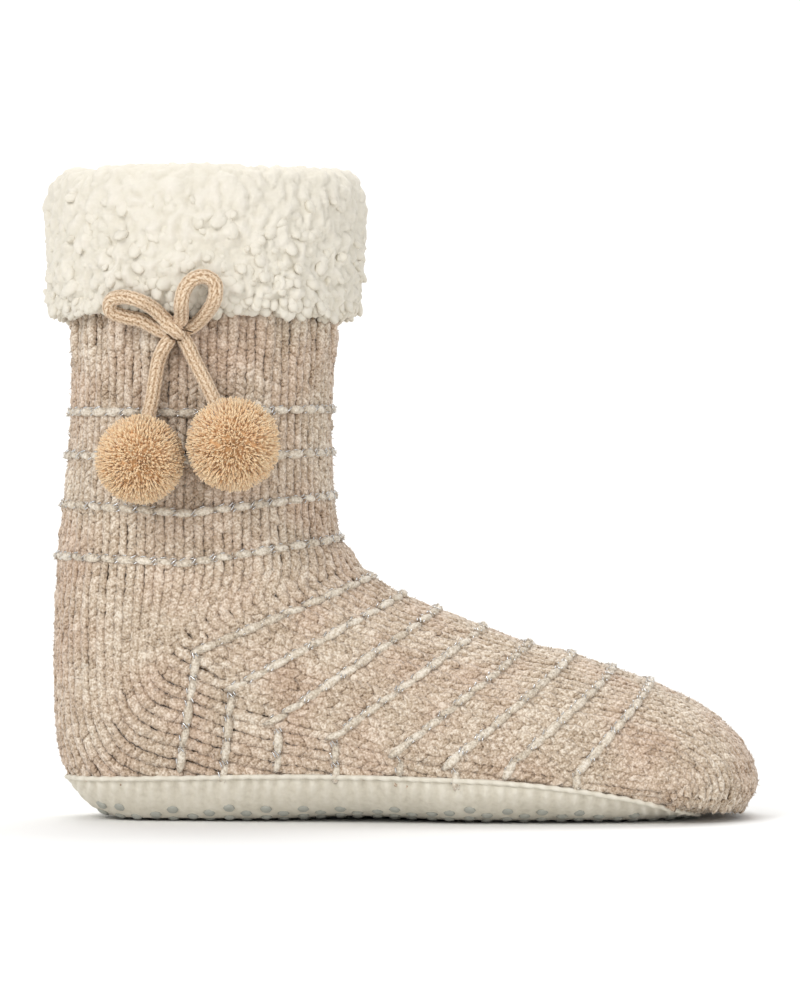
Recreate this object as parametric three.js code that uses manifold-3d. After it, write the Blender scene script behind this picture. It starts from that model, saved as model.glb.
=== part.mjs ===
// Slipper sock for a right foot: a knitted upper with twelve raised courses, a padded fabric sole
// that wraps up the side, a deep pile cuff folded over the collar, and a cord bow with two pompoms.
// Millimetres. X runs from the heel to the toe, Y to the inner side of the foot, Z up from the floor.
// The tables and sizes count X from the back of the heel. The origin is on the floor under the heel.

import * as THREE from "three";
import { mergeVertices } from "three/addons/utils/BufferGeometryUtils.js";
import Module from "manifold-3d";

const wasm = await Module();
wasm.setup();

// Driving dimensions of the foot and the leg
const footLength = 245;
const ballWidth = 94;
const instepHeight = 98;
const collarHeight = 222;
const shaftDepth = 91;
const shaftWidth = 79;
const shaftSet = 7;
const heelRest = 42;

// Driving dimensions of the knit and the sole
const knitWall = 3;
const ridgeCourses = 12;
const ridgeHeight = 1.2;
const ridgeShare = 0.14;
const soleWall = 4;
const soleProud = 0.8;
const soleRise = 15;
const soleEnd = 0.93;
const pressedFlat = 1.2;
const seamHeight = 2.4;
const seamProud = 1.9;
const clearance = 0.3;
const facetRoom = 0.4;

// Driving dimensions of the cuff, the bow and the pompoms
const cuffHeight = 49;
const cuffThickness = 10;
const cuffTurnIn = 14;
const liningThickness = 5;
const hemTufts = 20;
const tuftLength = 6;
const cordDiameter = 5;
const bowBelowHem = 9;
const bowPlace = 0.41;
const pompomCore = 12.4;
const lockLength = 3.6;
const pompomLocks = 21;

// Places that follow from them
const formLift = soleProud - pressedFlat;
const shaftFront = shaftSet + shaftDepth;
const cuffTop = collarHeight + liningThickness - 1;
const hemHeight = cuffTop - cuffHeight;
const cordRadius = cordDiameter / 2;

function table(columns, rows) {
  const named = (row) => Object.fromEntries(columns.map((name, i) => [name, row[i]]));
  return rows.map(named);
}

// Leg sections. Places along X are shares of the shaft's depth from its back, heights are shares of
// the way from the instep to the collar, and the half width is a share of half the shaft's width.
// A course is the knitted row, counted in ridges: ridge 1 is course 1.
const legRows = table(
  ["course", "front", "frontRise", "side", "sideRise", "back", "backRise", "half"],
  [
    [-3.8, 1.0, 1.0, 0.5, 1.0, 0.0, 1.0, 1.01],
    [-1.1, 0.99, 0.637, 0.49, 0.637, -0.01, 0.637, 0.985],
    [1, 0.978, 0.363, 0.478, 0.347, -0.016, 0.355, 0.96],
    [2, 0.978, 0.242, 0.467, 0.218, -0.027, 0.234, 0.95],
    [3, 0.987, 0.121, 0.45, 0.073, -0.044, 0.097, 0.937],
    [4, 1.012, 0.0, 0.44, -0.065, -0.066, -0.048, 0.915],
  ],
);

// Foot sections. The front line is a share of the way from the shaft's front to the toe tip, side and
// back are shares of the foot's length, heights of the instep's, half widths and swing of half the
// ball's width. Heel and toe sections fan out from the side line, as short rows do.
const footRows = table(
  ["course", "front", "frontZ", "side", "sideZ", "back", "backZ", "outer", "inner", "swing", "over", "under"],
  [
    [4.15, 0.028, 0.964, 0.19, 0.837, 0.0, 0.694, 0.762, 0.762, 0.0, 2.1, 2.4],
    [4.3, 0.038, 0.94, 0.192, 0.776, 0.0, 0.459, 0.765, 0.765, 0.0, 2.1, 2.5],
    [4.45, 0.048, 0.918, 0.194, 0.735, 0.009, 0.224, 0.768, 0.768, 0.0, 2.1, 2.6],
    [4.6, 0.057, 0.898, 0.197, 0.7, 0.047, 0.066, 0.77, 0.77, 0.0, 2.1, 2.8],
    [4.8, 0.071, 0.88, 0.203, 0.66, 0.114, 0.004, 0.772, 0.772, 0.0, 2.1, 3.1],
    [5, 0.085, 0.863, 0.208, 0.61, 0.171, 0.0, 0.775, 0.775, 0.0, 2.1, 3.2],
    [6, 0.158, 0.798, 0.257, 0.48, 0.237, 0.0, 0.8, 0.785, 0.0, 2.15, 3.2],
    [7, 0.24, 0.745, 0.322, 0.38, 0.318, 0.008, 0.835, 0.795, 0.0, 2.2, 3.1],
    [8, 0.348, 0.682, 0.4, 0.315, 0.404, 0.022, 0.885, 0.82, 0.0, 2.2, 3.0],
    [9, 0.457, 0.622, 0.49, 0.27, 0.494, 0.018, 0.94, 0.885, 0.0, 2.2, 3.0],
    [10, 0.56, 0.585, 0.567, 0.24, 0.571, 0.002, 0.985, 0.945, 0.01, 2.25, 3.0],
    [11, 0.656, 0.535, 0.645, 0.217, 0.649, 0.0, 1.0, 0.99, 0.03, 2.3, 3.0],
    [12, 0.745, 0.487, 0.735, 0.186, 0.739, 0.0, 0.98, 1.01, 0.06, 2.35, 2.9],
    [12.6, 0.841, 0.422, 0.804, 0.165, 0.804, 0.0, 0.94, 0.99, 0.09, 2.4, 2.8],
    [13.1, 0.928, 0.332, 0.841, 0.155, 0.841, 0.003, 0.91, 0.965, 0.12, 2.4, 2.7],
    [13.5, 0.984, 0.225, 0.853, 0.143, 0.857, 0.005, 0.89, 0.945, 0.14, 2.4, 2.6],
    [13.8, 1.0, 0.125, 0.857, 0.122, 0.869, 0.009, 0.87, 0.925, 0.15, 2.4, 2.5],
    [14.1, 0.972, 0.045, 0.861, 0.094, 0.882, 0.014, 0.84, 0.895, 0.14, 2.4, 2.4],
  ],
);

// The sole's upper edge: a share of the foot's length, and its height as a share of soleRise.
const soleEdgeRows = table(
  ["along", "rise"],
  [
    [-0.05, 0.95],
    [0.12, 1.0],
    [0.36, 1.08],
    [0.6, 1.0],
    [0.7, 0.86],
    [0.78, 0.66],
    [0.85, 0.42],
    [0.9, 0.2],
    [soleEnd, 0.02],
  ],
);

// Each row as the real places of its section, in millimetres.
const legSpan = collarHeight - instepHeight;
const legSections = legRows.map((row) => ({
  course: row.course,
  frontX: shaftSet + shaftDepth * row.front,
  frontZ: instepHeight + legSpan * row.frontRise,
  sideX: shaftSet + shaftDepth * row.side,
  sideZ: instepHeight + legSpan * row.sideRise,
  backX: shaftSet + shaftDepth * row.back,
  backZ: instepHeight + legSpan * row.backRise,
  outer: (shaftWidth / 2) * row.half,
  inner: (shaftWidth / 2) * row.half,
  swing: 0,
  over: 2.1,
  under: 2.1,
}));
const footSections = footRows.map((row) => ({
  course: row.course,
  frontX: shaftFront + (footLength - shaftFront) * row.front,
  frontZ: instepHeight * row.frontZ,
  sideX: footLength * row.side,
  sideZ: instepHeight * row.sideZ,
  backX: footLength * row.back,
  backZ: instepHeight * row.backZ,
  outer: (ballWidth / 2) * row.outer,
  inner: (ballWidth / 2) * row.inner,
  swing: (ballWidth / 2) * row.swing,
  over: row.over,
  under: row.under,
}));
const sections = [...legSections, ...footSections];

// A smooth value between rows: a cubic through each, with the slope of its two neighbours.
function smooth(rows, key, at, name) {
  const last = rows.length - 1;
  const t = Math.min(Math.max(at, rows[0][key]), rows[last][key]);
  let i = 0;
  while (i < last - 1 && rows[i + 1][key] < t) i += 1;
  const slope = (k) => {
    const a = rows[Math.max(k - 1, 0)];
    const b = rows[Math.min(k + 1, last)];
    return (b[name] - a[name]) / (b[key] - a[key]);
  };
  const span = rows[i + 1][key] - rows[i][key];
  const u = (t - rows[i][key]) / span;
  const ease = u * u * (3 - 2 * u);
  const leave = u * (1 - u) * (1 - u) * span * slope(i);
  const arrive = u * u * (u - 1) * span * slope(i + 1);
  return rows[i][name] * (1 - ease) + rows[i + 1][name] * ease + leave + arrive;
}

function sectionAt(course) {
  const names = Object.keys(sections[0]);
  return Object.fromEntries(names.map((name) => [name, smooth(sections, "course", course, name)]));
}

// A point on a section. The angle starts on the outer side and turns by the front and the inner side.
function pointOn(section, angle) {
  const toFront = Math.sin(angle) >= 0;
  const power = 2 / (toFront ? section.over : section.under);
  const endX = toFront ? section.frontX : section.backX;
  const endZ = toFront ? section.frontZ : section.backZ;
  const along = Math.abs(Math.sin(angle)) ** power;
  const across = Math.abs(Math.cos(angle)) ** power;
  const half = Math.cos(angle) >= 0 ? -section.outer : section.inner;
  return new THREE.Vector3(
    section.sideX + (endX - section.sideX) * along,
    section.swing * along + half * across,
    section.sideZ + (endZ - section.sideZ) * along + formLift,
  );
}

// The same point moved out of the surface by an offset, or into it by a negative one.
function surfacePoint(course, angle, offset) {
  const nudge = 0.02;
  const turn = 0.01;
  const down = pointOn(sectionAt(course + nudge), angle).sub(pointOn(sectionAt(course - nudge), angle));
  const section = sectionAt(course);
  const round = pointOn(section, angle + turn).sub(pointOn(section, angle - turn));
  return pointOn(section, angle).addScaledVector(down.cross(round).normalize(), offset);
}

function solidOf(positions, triangles) {
  const mesh = new wasm.Mesh({
    numProp: 3,
    vertProperties: new Float32Array(positions),
    triVerts: new Uint32Array(triangles),
  });
  return new wasm.Manifold(mesh);
}

function solidOfGeometry(geometry) {
  const bare = geometry.clone();
  bare.deleteAttribute("normal");
  bare.deleteAttribute("uv");
  const merged = mergeVertices(bare, 1e-4);
  return solidOf(merged.attributes.position.array, merged.index.array);
}

// A closed solid from rings of points: each ring joins the next. Both ends are capped by strips from
// the ring's front half to its back half, which also close the narrow slit under the toe.
function loft(rings) {
  const sides = rings[0].length;
  const points = rings.flat();
  const triangles = [];
  const at = (ring, side) => ring * sides + (side % sides);
  for (let ring = 0; ring + 1 < rings.length; ring += 1) {
    for (let side = 0; side < sides; side += 1) {
      const corners = [at(ring, side), at(ring, side + 1), at(ring + 1, side + 1), at(ring + 1, side)];
      triangles.push(corners[0], corners[2], corners[1], corners[0], corners[3], corners[2]);
    }
  }
  for (const [ring, turned] of [[0, false], [rings.length - 1, true]]) {
    for (let side = 0; side < sides / 2; side += 1) {
      const a = at(ring, side);
      const b = at(ring, side + 1);
      const c = at(ring, sides - side - 1);
      const d = at(ring, sides - side);
      if (b !== c) triangles.push(...(turned ? [a, c, b] : [a, b, c]));
      if (a !== d) triangles.push(...(turned ? [a, d, c] : [a, c, d]));
    }
  }
  return solidOf(points.flatMap((p) => p.toArray()), triangles);
}

// A closed band: a profile, itself a closed loop, carried round a closed line.
function band(profiles) {
  const count = profiles.length;
  const size = profiles[0].length;
  const triangles = [];
  const at = (turn, k) => (turn % count) * size + (k % size);
  for (let turn = 0; turn < count; turn += 1) {
    for (let k = 0; k < size; k += 1) {
      const corners = [at(turn, k), at(turn, k + 1), at(turn + 1, k + 1), at(turn + 1, k)];
      triangles.push(corners[0], corners[2], corners[1], corners[0], corners[3], corners[2]);
    }
  }
  return solidOf(profiles.flat().flatMap((p) => p.toArray()), triangles);
}

// The whole sock's form, at an offset from the knit's outer face that may change with the course.
function form(courses, sides, offsetAt, openTop) {
  const angles = Array.from({ length: sides }, (_, i) => (2 * Math.PI * i) / sides);
  const ring = (course) => angles.map((angle) => surfacePoint(course, angle, offsetAt(course)));
  const rings = courses.map(ring);
  if (openTop) rings[0].forEach((p) => p.setZ(collarHeight + cuffThickness));
  return loft(rings);
}

const shapeCourses = sections.map((section) => section.course);
const isRidge = (course) => Number.isInteger(course) && course >= 1 && course <= ridgeCourses;

// Courses for the plain forms: the rows and, in the turns of heel and toe, the middles between them.
function plainCourses() {
  const courses = [...shapeCourses];
  shapeCourses.forEach((course, i) => {
    const next = shapeCourses[i + 1];
    const turnsHeel = course >= 4 && next <= 5;
    const turnsToe = course >= ridgeCourses && next <= 13.5;
    if (turnsHeel || turnsToe) courses.push((course + next) / 2);
  });
  return courses.sort((a, b) => a - b);
}

// Courses for the knit's outer face: three for each ridge, its foot, crest and foot, and the rest.
function knitCourses() {
  const courses = plainCourses().filter((course) => !isRidge(course));
  for (let ridge = 1; ridge <= ridgeCourses; ridge += 1) {
    courses.push(ridge - ridgeShare, ridge, ridge + ridgeShare);
  }
  const apart = (course, i, all) => i === 0 || course - all[i - 1] > 0.04;
  return courses.sort((a, b) => a - b).filter(apart);
}

const ridgeOffset = (course) => (isRidge(course) ? ridgeHeight : 0);
const outerSides = 32;
const innerSides = 24;

// Everything under the sole's upper edge, moved up or down by a shift, as a solid to cut with.
function soleZone(shift) {
  const reach = ballWidth;
  const below = -soleRise;
  const least = below / 2;
  const steps = 16;
  const heightAt = (along) => soleRise * smooth(soleEdgeRows, "along", along, "rise") + shift;
  const start = soleEdgeRows[0].along;
  const outline = new THREE.Shape();
  outline.moveTo(footLength * start, below);
  for (let i = 0; i <= steps; i += 1) {
    const along = start + ((soleEnd - start) * i) / steps;
    outline.lineTo(footLength * along + (i === steps ? shift : 0), Math.max(heightAt(along), least));
  }
  outline.lineTo(footLength * soleEnd + shift, below);
  outline.closePath();
  const geometry = new THREE.ExtrudeGeometry(outline, { depth: 2 * reach, bevelEnabled: false });
  geometry.rotateX(Math.PI / 2);
  geometry.translate(0, reach, 0);
  return solidOfGeometry(geometry);
}

function floorSlab() {
  const depth = 20;
  const geometry = new THREE.BoxGeometry(2 * footLength, 2 * ballWidth, depth);
  geometry.translate(footLength / 2, 0, -depth / 2);
  return solidOfGeometry(geometry);
}

function makeUpper() {
  const outside = form(knitCourses(), outerSides, ridgeOffset, false);
  const inside = form(shapeCourses, innerSides, () => -knitWall, true);
  return outside.subtract(inside).subtract(soleZone(clearance));
}

function makeSole() {
  const courses = plainCourses();
  const inside = form(shapeCourses, innerSides, () => soleProud - soleWall, true);
  const skin = form(courses, outerSides, () => soleProud, false);
  const seam = form(courses, outerSides, () => seamProud, false).subtract(soleZone(-seamHeight));
  const covered = skin.add(seam).intersect(soleZone(0));
  return covered.subtract(inside).subtract(floorSlab());
}

// A steady number from 0 to 1 for a place in a pattern.
function vary(i, k) {
  const wave = Math.sin(i * 12.9898 + k * 78.233) * 43758.5453;
  return wave - Math.floor(wave);
}

// The course of the leg whose front is at a height.
function courseAt(height) {
  const rows = legSections;
  let i = 0;
  while (i < rows.length - 2 && rows[i + 1].frontZ > height) i += 1;
  const share = (rows[i].frontZ - height) / (rows[i].frontZ - rows[i + 1].frontZ);
  return rows[i].course + share * (rows[i + 1].course - rows[i].course);
}

// A point beside the leg at a height, moved out level from the knit's outer face.
function legPoint(height, angle, offset) {
  const section = sectionAt(courseAt(height));
  const turn = 0.01;
  const round = pointOn(section, angle + turn).sub(pointOn(section, angle - turn));
  const out = new THREE.Vector3(0, 0, -1).cross(round).normalize();
  return pointOn(section, angle).addScaledVector(out, offset).setZ(height);
}

// The cuff's profile: offsets from the knit's outer face, and heights counted from the hem in shares of
// the cuff's height, or down from its top in thicknesses. It runs up the outside, over the rim, down
// the inside, and back along the knit.
function cuffProfile() {
  const inner = -knitWall - liningThickness;
  const gapIn = -knitWall - clearance - facetRoom;
  const fromHem = (share) => hemHeight + cuffHeight * share;
  const fromTop = (share) => cuffTop - cuffThickness * share;
  const turnedIn = collarHeight - cuffTurnIn;
  return table(
    ["offset", "height", "pile"],
    [
      [clearance, fromHem(0.04), 0],
      [cuffThickness * 0.35, fromHem(-0.01), 0.6],
      [cuffThickness * 0.7, fromHem(0.03), 1],
      [cuffThickness * 0.88, fromHem(0.12), 1],
      [cuffThickness * 0.95, fromHem(0.27), 1],
      [cuffThickness, fromHem(0.43), 1],
      [cuffThickness * 1.03, fromHem(0.59), 1],
      [cuffThickness * 1.03, fromTop(1.3), 1],
      [cuffThickness * 0.95, fromTop(0.6), 1],
      [cuffThickness * 0.65, fromTop(0.15), 0.6],
      [cuffThickness * 0.2, fromTop(0), 0.4],
      [-knitWall * 0.9, fromTop(0.03), 0.4],
      [inner * 0.8, fromTop(0.3), 0.4],
      [inner, fromTop(0.8), 0.4],
      [inner * 0.95, turnedIn + cuffTurnIn * 0.14, 0.4],
      [gapIn, turnedIn, 0],
      [gapIn, collarHeight + clearance, 0],
      [clearance, collarHeight + clearance, 0],
      [clearance, (collarHeight + hemHeight) / 2, 0],
    ],
  );
}

function makeCuff() {
  const turns = 44;
  const profile = cuffProfile();
  const pile = (angle, k) =>
    0.7 * Math.sin(9 * angle + 2.1 * k) + 0.6 * Math.sin(13 * angle - 1.7 * k + 1) + 0.5 * vary(k, 5);
  const profiles = Array.from({ length: turns }, (_, turn) => {
    const angle = (2 * Math.PI * turn) / turns;
    return profile.map((row, k) => legPoint(row.height, angle, row.offset + row.pile * pile(angle, k)));
  });
  let cuff = band(profiles);
  for (let i = 0; i < hemTufts; i += 1) {
    const angle = (2 * Math.PI * (i + 0.5 * vary(i, 1))) / hemTufts;
    const length = tuftLength * (0.8 + 0.4 * vary(i, 2));
    const tuft = new THREE.ConeGeometry(cuffThickness * 0.28, length, 4);
    tuft.rotateX(Math.PI);
    const root = legPoint(hemHeight + 1.2, angle, cuffThickness * (0.42 + 0.2 * vary(i, 3)));
    tuft.translate(root.x, root.y, root.z);
    cuff = cuff.add(solidOfGeometry(tuft));
  }
  return cuff;
}

// The knit's outer face on the outer side of the leg, then out from it towards -Y.
function besideLeg(x, height, out) {
  const section = sectionAt(courseAt(height));
  const half = x > section.sideX ? section.frontX - section.sideX : section.sideX - section.backX;
  const share = Math.min(Math.abs(x - section.sideX) / half, 1);
  const width = section.outer * (1 - share ** section.over) ** (1 / section.over);
  return new THREE.Vector3(x, -width - out, height);
}

const knotX = shaftSet + shaftDepth * bowPlace;
const knotHeight = hemHeight - bowBelowHem;
const fromKnot = ([dx, dz, out]) => besideLeg(knotX + dx, knotHeight + dz, out);
const overCuff = cuffThickness + cordRadius + 2.2;
const cordStep = 1.2 * cordDiameter;

// Chosen by hand from the knot's middle: X, height, and out from the knit. A loop leaves the knot and
// comes back to it, and the tails end in the pompoms.
const bowCords = {
  bow_loop_back: [
    [-4.6, 5, 7.6],
    [-8.6, 8.6, 10.6],
    [-13, 10.8, overCuff],
    [-18.4, 12, overCuff],
    [-22.4, 10.8, overCuff],
    [-22.6, 7.4, overCuff - 1.6],
    [-18.6, 5.6, 9.6],
    [-12.4, 4.2, 6.6],
    [-5, 0.5, 4.2],
  ],
  bow_loop_front: [
    [1.6, 5.6, 8.4],
    [1.9, 10, overCuff],
    [3, 14.2, overCuff + 0.4],
    [5.8, 17.6, overCuff + 0.4],
    [9.8, 18.6, overCuff + 0.4],
    [13.2, 16.4, overCuff + 0.4],
    [13.4, 12, overCuff],
    [11.4, 8, 10.4],
    [6.2, 2.8, 4.6],
  ],
  bow_tail_back: [
    [-4.4, -4.9, 5.4],
    [-6.4, -9.4, 4.2],
    [-7.6, -16, 4.4],
    [-8.6, -23, 6],
    [-9.8, -28.6, 9.2],
    [-10.6, -33, 12],
  ],
  bow_tail_front: [
    [3.2, -3.8, 5],
    [5.8, -9.4, 5],
    [9, -15.6, 7],
    [12.4, -22.4, 11],
    [15.4, -28.4, 15.4],
  ],
};

// A round cord through points, or the wider and longer room that a piece it enters keeps for it.
function cord(points, room) {
  const places = points.map(fromKnot);
  const last = places.length - 1;
  const lengthen = (end, next) => end.addScaledVector(end.clone().sub(next).normalize(), room);
  lengthen(places[0], places[1]);
  lengthen(places[last], places[last - 1]);
  return tube(new THREE.CatmullRomCurve3(places), cordDiameter + 2 * room);
}

function tube(route, diameter) {
  const outline = new THREE.Shape();
  outline.absarc(0, 0, diameter / 2, 0, 2 * Math.PI, false);
  const steps = Math.ceil(route.getLength() / cordStep);
  const geometry = new THREE.ExtrudeGeometry(outline, { steps, curveSegments: 4, extrudePath: route });
  return solidOfGeometry(geometry);
}

// A solid with room cut for each cord that enters it.
function seatCords(solid, names) {
  return names.reduce((rest, name) => rest.subtract(cord(bowCords[name], clearance)), solid);
}

// The knot is the gathered cord itself: a core, with a stub of cord to each loop and tail.
function makeKnot() {
  const middle = fromKnot([0.4, 0.4, 5.2]);
  const core = new THREE.SphereGeometry(1, 10, 6);
  core.scale(cordDiameter * 0.95, cordRadius * 1.5, cordDiameter * 0.9);
  core.translate(middle.x, middle.y, middle.z);
  let knot = solidOfGeometry(core);
  for (const [name, points] of Object.entries(bowCords)) {
    const ends = name.includes("loop") ? [points[0], points[points.length - 1]] : [points[0]];
    for (const end of ends) knot = knot.add(tube(new THREE.LineCurve3(middle, fromKnot(end)), cordDiameter));
  }
  return seatCords(knot, Object.keys(bowCords));
}

// Each pompom hangs at the end of its tail, clear of the leg: how far it lies along X and below the
// tail's end in shares of its own reach, how far it stands off the knit, and its size.
const pompoms = {
  pompom_back: { tail: "bow_tail_back", side: -0.1, below: 0.66, standOff: 1.8, size: 0.97 },
  pompom_front: { tail: "bow_tail_front", side: 0.24, below: 0.58, standOff: 4, size: 1.03 },
};
const pompomReach = pompomCore + lockLength;
const goldenTurn = Math.PI * (3 - Math.sqrt(5));

function pompomMiddle({ tail, side, below, standOff, size }) {
  const [dx, dz] = bowCords[tail].at(-1);
  const reach = pompomReach * size;
  return fromKnot([dx + reach * side, dz - reach * below, reach + standOff]);
}

function makePompom(pompom, seed) {
  const { x, y, z } = pompomMiddle(pompom);
  const core = pompomCore * pompom.size;
  const root = lockLength / 2;
  const up = new THREE.Vector3(0, 1, 0);
  let ball = solidOfGeometry(new THREE.IcosahedronGeometry(core, 2));
  for (let i = 0; i < pompomLocks; i += 1) {
    const height = 1 - (2 * i + 1) / pompomLocks;
    const turn = i * goldenTurn;
    const level = Math.sqrt(1 - height * height);
    const way = new THREE.Vector3(level * Math.cos(turn), level * Math.sin(turn), height);
    const length = lockLength * pompom.size * (0.75 + 0.25 * vary(i, seed));
    const lock = new THREE.CylinderGeometry(core * 0.16, core * 0.34, length + root, 4);
    lock.applyQuaternion(new THREE.Quaternion().setFromUnitVectors(up, way));
    const centre = way.multiplyScalar(core + (length - root) / 2);
    lock.translate(centre.x, centre.y, centre.z);
    ball = ball.add(solidOfGeometry(lock));
  }
  return seatCords(ball.translate([x, y, z]), [pompom.tail]);
}

// The sock as a scene graph, one named mesh for each piece.
const group = new THREE.Group();
const sock = new THREE.Group();
sock.position.x = -heelRest;
group.add(sock);

function addPiece(name, solid, color, roughness) {
  const { vertProperties, triVerts } = solid.getMesh();
  const geometry = new THREE.BufferGeometry();
  geometry.setAttribute("position", new THREE.BufferAttribute(vertProperties, 3));
  geometry.setIndex(new THREE.BufferAttribute(triVerts, 1));
  geometry.computeVertexNormals();
  const material = new THREE.MeshStandardMaterial({ color, roughness, metalness: 0 });
  const mesh = new THREE.Mesh(geometry, material);
  mesh.name = name;
  sock.add(mesh);
}

addPiece("upper", makeUpper(), 0xcdb9a2, 0.95);
addPiece("sole", makeSole(), 0xe6e4da, 0.85);
addPiece("cuff", makeCuff(), 0xf3f1e8, 1.0);
addPiece("bow_knot", makeKnot(), 0xddbf98, 0.9);
for (const [name, points] of Object.entries(bowCords)) {
  addPiece(name, cord(points, 0), 0xddbf98, 0.9);
}
Object.entries(pompoms).forEach(([name, pompom], i) => {
  addPiece(name, makePompom(pompom, i + 7), 0xd8b384, 1.0);
});

export default group;
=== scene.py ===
# %% [markdown]
# # A knitted slipper sock in Blender
# The sock is a right foot's house sock: a chenille upper with raised courses, a padded fabric sole, a
# curled pile cuff and a cord bow with two pompoms. The CAD model gives every piece its place and size.
# Blender adds what a solid can't carry: the stitches, the pile, the gathers and the yarn.

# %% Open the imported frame
import math

import bmesh
import bpy
import numpy as np
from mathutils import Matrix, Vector, noise
from mathutils.bvhtree import BVHTree


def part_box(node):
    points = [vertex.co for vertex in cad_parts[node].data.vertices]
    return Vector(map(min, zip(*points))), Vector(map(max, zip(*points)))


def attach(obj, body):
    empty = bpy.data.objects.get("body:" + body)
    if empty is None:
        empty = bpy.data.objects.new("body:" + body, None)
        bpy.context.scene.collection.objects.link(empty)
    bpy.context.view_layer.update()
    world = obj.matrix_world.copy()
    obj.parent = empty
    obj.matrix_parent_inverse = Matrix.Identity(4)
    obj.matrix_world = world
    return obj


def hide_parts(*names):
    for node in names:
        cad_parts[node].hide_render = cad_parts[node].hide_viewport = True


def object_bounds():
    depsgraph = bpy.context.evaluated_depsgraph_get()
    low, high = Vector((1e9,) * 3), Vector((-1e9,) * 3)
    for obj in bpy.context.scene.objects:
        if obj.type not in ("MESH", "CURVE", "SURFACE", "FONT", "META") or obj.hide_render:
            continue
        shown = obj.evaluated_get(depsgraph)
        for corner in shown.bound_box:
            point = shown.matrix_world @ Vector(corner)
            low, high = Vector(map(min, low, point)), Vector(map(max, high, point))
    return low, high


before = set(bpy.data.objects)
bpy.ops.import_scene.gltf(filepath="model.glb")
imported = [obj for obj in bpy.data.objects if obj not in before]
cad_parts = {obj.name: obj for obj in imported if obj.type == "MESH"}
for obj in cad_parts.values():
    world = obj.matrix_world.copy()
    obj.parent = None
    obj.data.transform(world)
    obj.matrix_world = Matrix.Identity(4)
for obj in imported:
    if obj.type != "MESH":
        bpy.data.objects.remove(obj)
cad_box = [list(corner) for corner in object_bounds()]
print("solids:", sorted(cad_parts))
print("the CAD box in metres:", cad_box)

# %% [markdown]
# ## Millimetres, and where they start
# A maker measures a sock in millimetres from the back of the heel. Blender works in metres, and the
# frame's origin lies on the floor under the heel. Working in the maker's numbers and turning them
# into metres once, when a mesh is made, keeps every size readable.

# %% From millimetres to the frame
MM = 0.001
HEEL_REST = 42.0


def metres(points):
    """Points counted from the back of the heel in millimetres, as the frame's metres."""
    return (np.asarray(points, float) - (HEEL_REST, 0.0, 0.0)) * MM


def millimetres(corner):
    """A corner of the frame in metres, in millimetres from the back of the heel."""
    return np.array(corner) / MM + (HEEL_REST, 0.0, 0.0)


def in_scene(name, data):
    """A new object that shows."""
    made = bpy.data.objects.new(name, data)
    bpy.context.collection.objects.link(made)
    return made


print("the shaft's height:", round(millimetres(cad_box[1])[2]), "mm")

# %% [markdown]
# ## Camera
# A product picture of a sock is taken level, square to the outer side, from far enough away that the
# shaft and the toe keep their true proportions. A long lens on a level camera does the same.

# %% A level camera with a long lens
PICTURE_HEIGHT = 350 * MM
CAMERA_AWAY = 1.6
camera_data = bpy.data.cameras.new("level_camera")
camera_data.sensor_width = 36
camera_data.lens = camera_data.sensor_width * CAMERA_AWAY / PICTURE_HEIGHT
camera = in_scene("level_camera", camera_data)
middle = [(low + high) / 2 for low, high in zip(*cad_box)]
camera.location = (middle[0], -CAMERA_AWAY, middle[2] - 2 * MM)
camera.rotation_euler = (math.pi / 2, 0, 0)
bpy.context.scene.camera = camera
print("lens:", round(camera_data.lens), "mm")

# %% [markdown]
# ## The sock's form
# A knitter shapes a sock with courses: each course is one row of stitches round the leg or the foot.
# The form is a table of such courses, with the front line, the side line and the back line of each.
# Ridge 1 is course 1. Heel and toe courses fan out from the side line, as short rows do. A smooth
# curve through the table gives a point for any course and any angle, so that every later piece, from
# the yarn to the sole, follows one and the same form.

# %% The driving sizes
FOOT_LENGTH, BALL_WIDTH, INSTEP_HEIGHT = 245, 94, 98
COLLAR_HEIGHT, SHAFT_DEPTH, SHAFT_WIDTH, SHAFT_SET = 222, 91, 79, 7
KNIT_WALL, SOLE_PROUD, SOLE_RISE, SOLE_END = 3, 0.8, 15, 0.93
FORM_LIFT = -0.4
CUFF_HEIGHT, CUFF_THICKNESS, LINING = 49, 10, 5
CUFF_TOP = COLLAR_HEIGHT + LINING - 1
HEM_HEIGHT = CUFF_TOP - CUFF_HEIGHT
SHAFT_FRONT = SHAFT_SET + SHAFT_DEPTH
LEG_SPAN = COLLAR_HEIGHT - INSTEP_HEIGHT
SECTION = ["course", "front_x", "front_z", "side_x", "side_z", "back_x", "back_z"]
SECTION += ["outer", "inner", "swing", "over", "under"]

# %% The leg's courses, as shares of the shaft
LEG_ROWS = [
    (-3.8, 1.0, 1.0, 0.5, 1.0, 0.0, 1.0, 1.01),
    (-1.1, 0.99, 0.637, 0.49, 0.637, -0.01, 0.637, 0.985),
    (1, 0.978, 0.363, 0.478, 0.347, -0.016, 0.355, 0.96),
    (2, 0.978, 0.242, 0.467, 0.218, -0.027, 0.234, 0.95),
    (3, 0.987, 0.121, 0.45, 0.073, -0.044, 0.097, 0.937),
    (4, 1.012, 0.0, 0.44, -0.065, -0.066, -0.048, 0.915),
]
leg_sections = []
for course, front, front_rise, side, side_rise, back, back_rise, half in LEG_ROWS:
    lines = []
    for along, rise in ((front, front_rise), (side, side_rise), (back, back_rise)):
        lines += [SHAFT_SET + SHAFT_DEPTH * along, INSTEP_HEIGHT + LEG_SPAN * rise]
    leg_sections.append([course, *lines, SHAFT_WIDTH / 2 * half, SHAFT_WIDTH / 2 * half, 0, 2.1, 2.1])
print("leg courses:", len(leg_sections))

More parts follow.
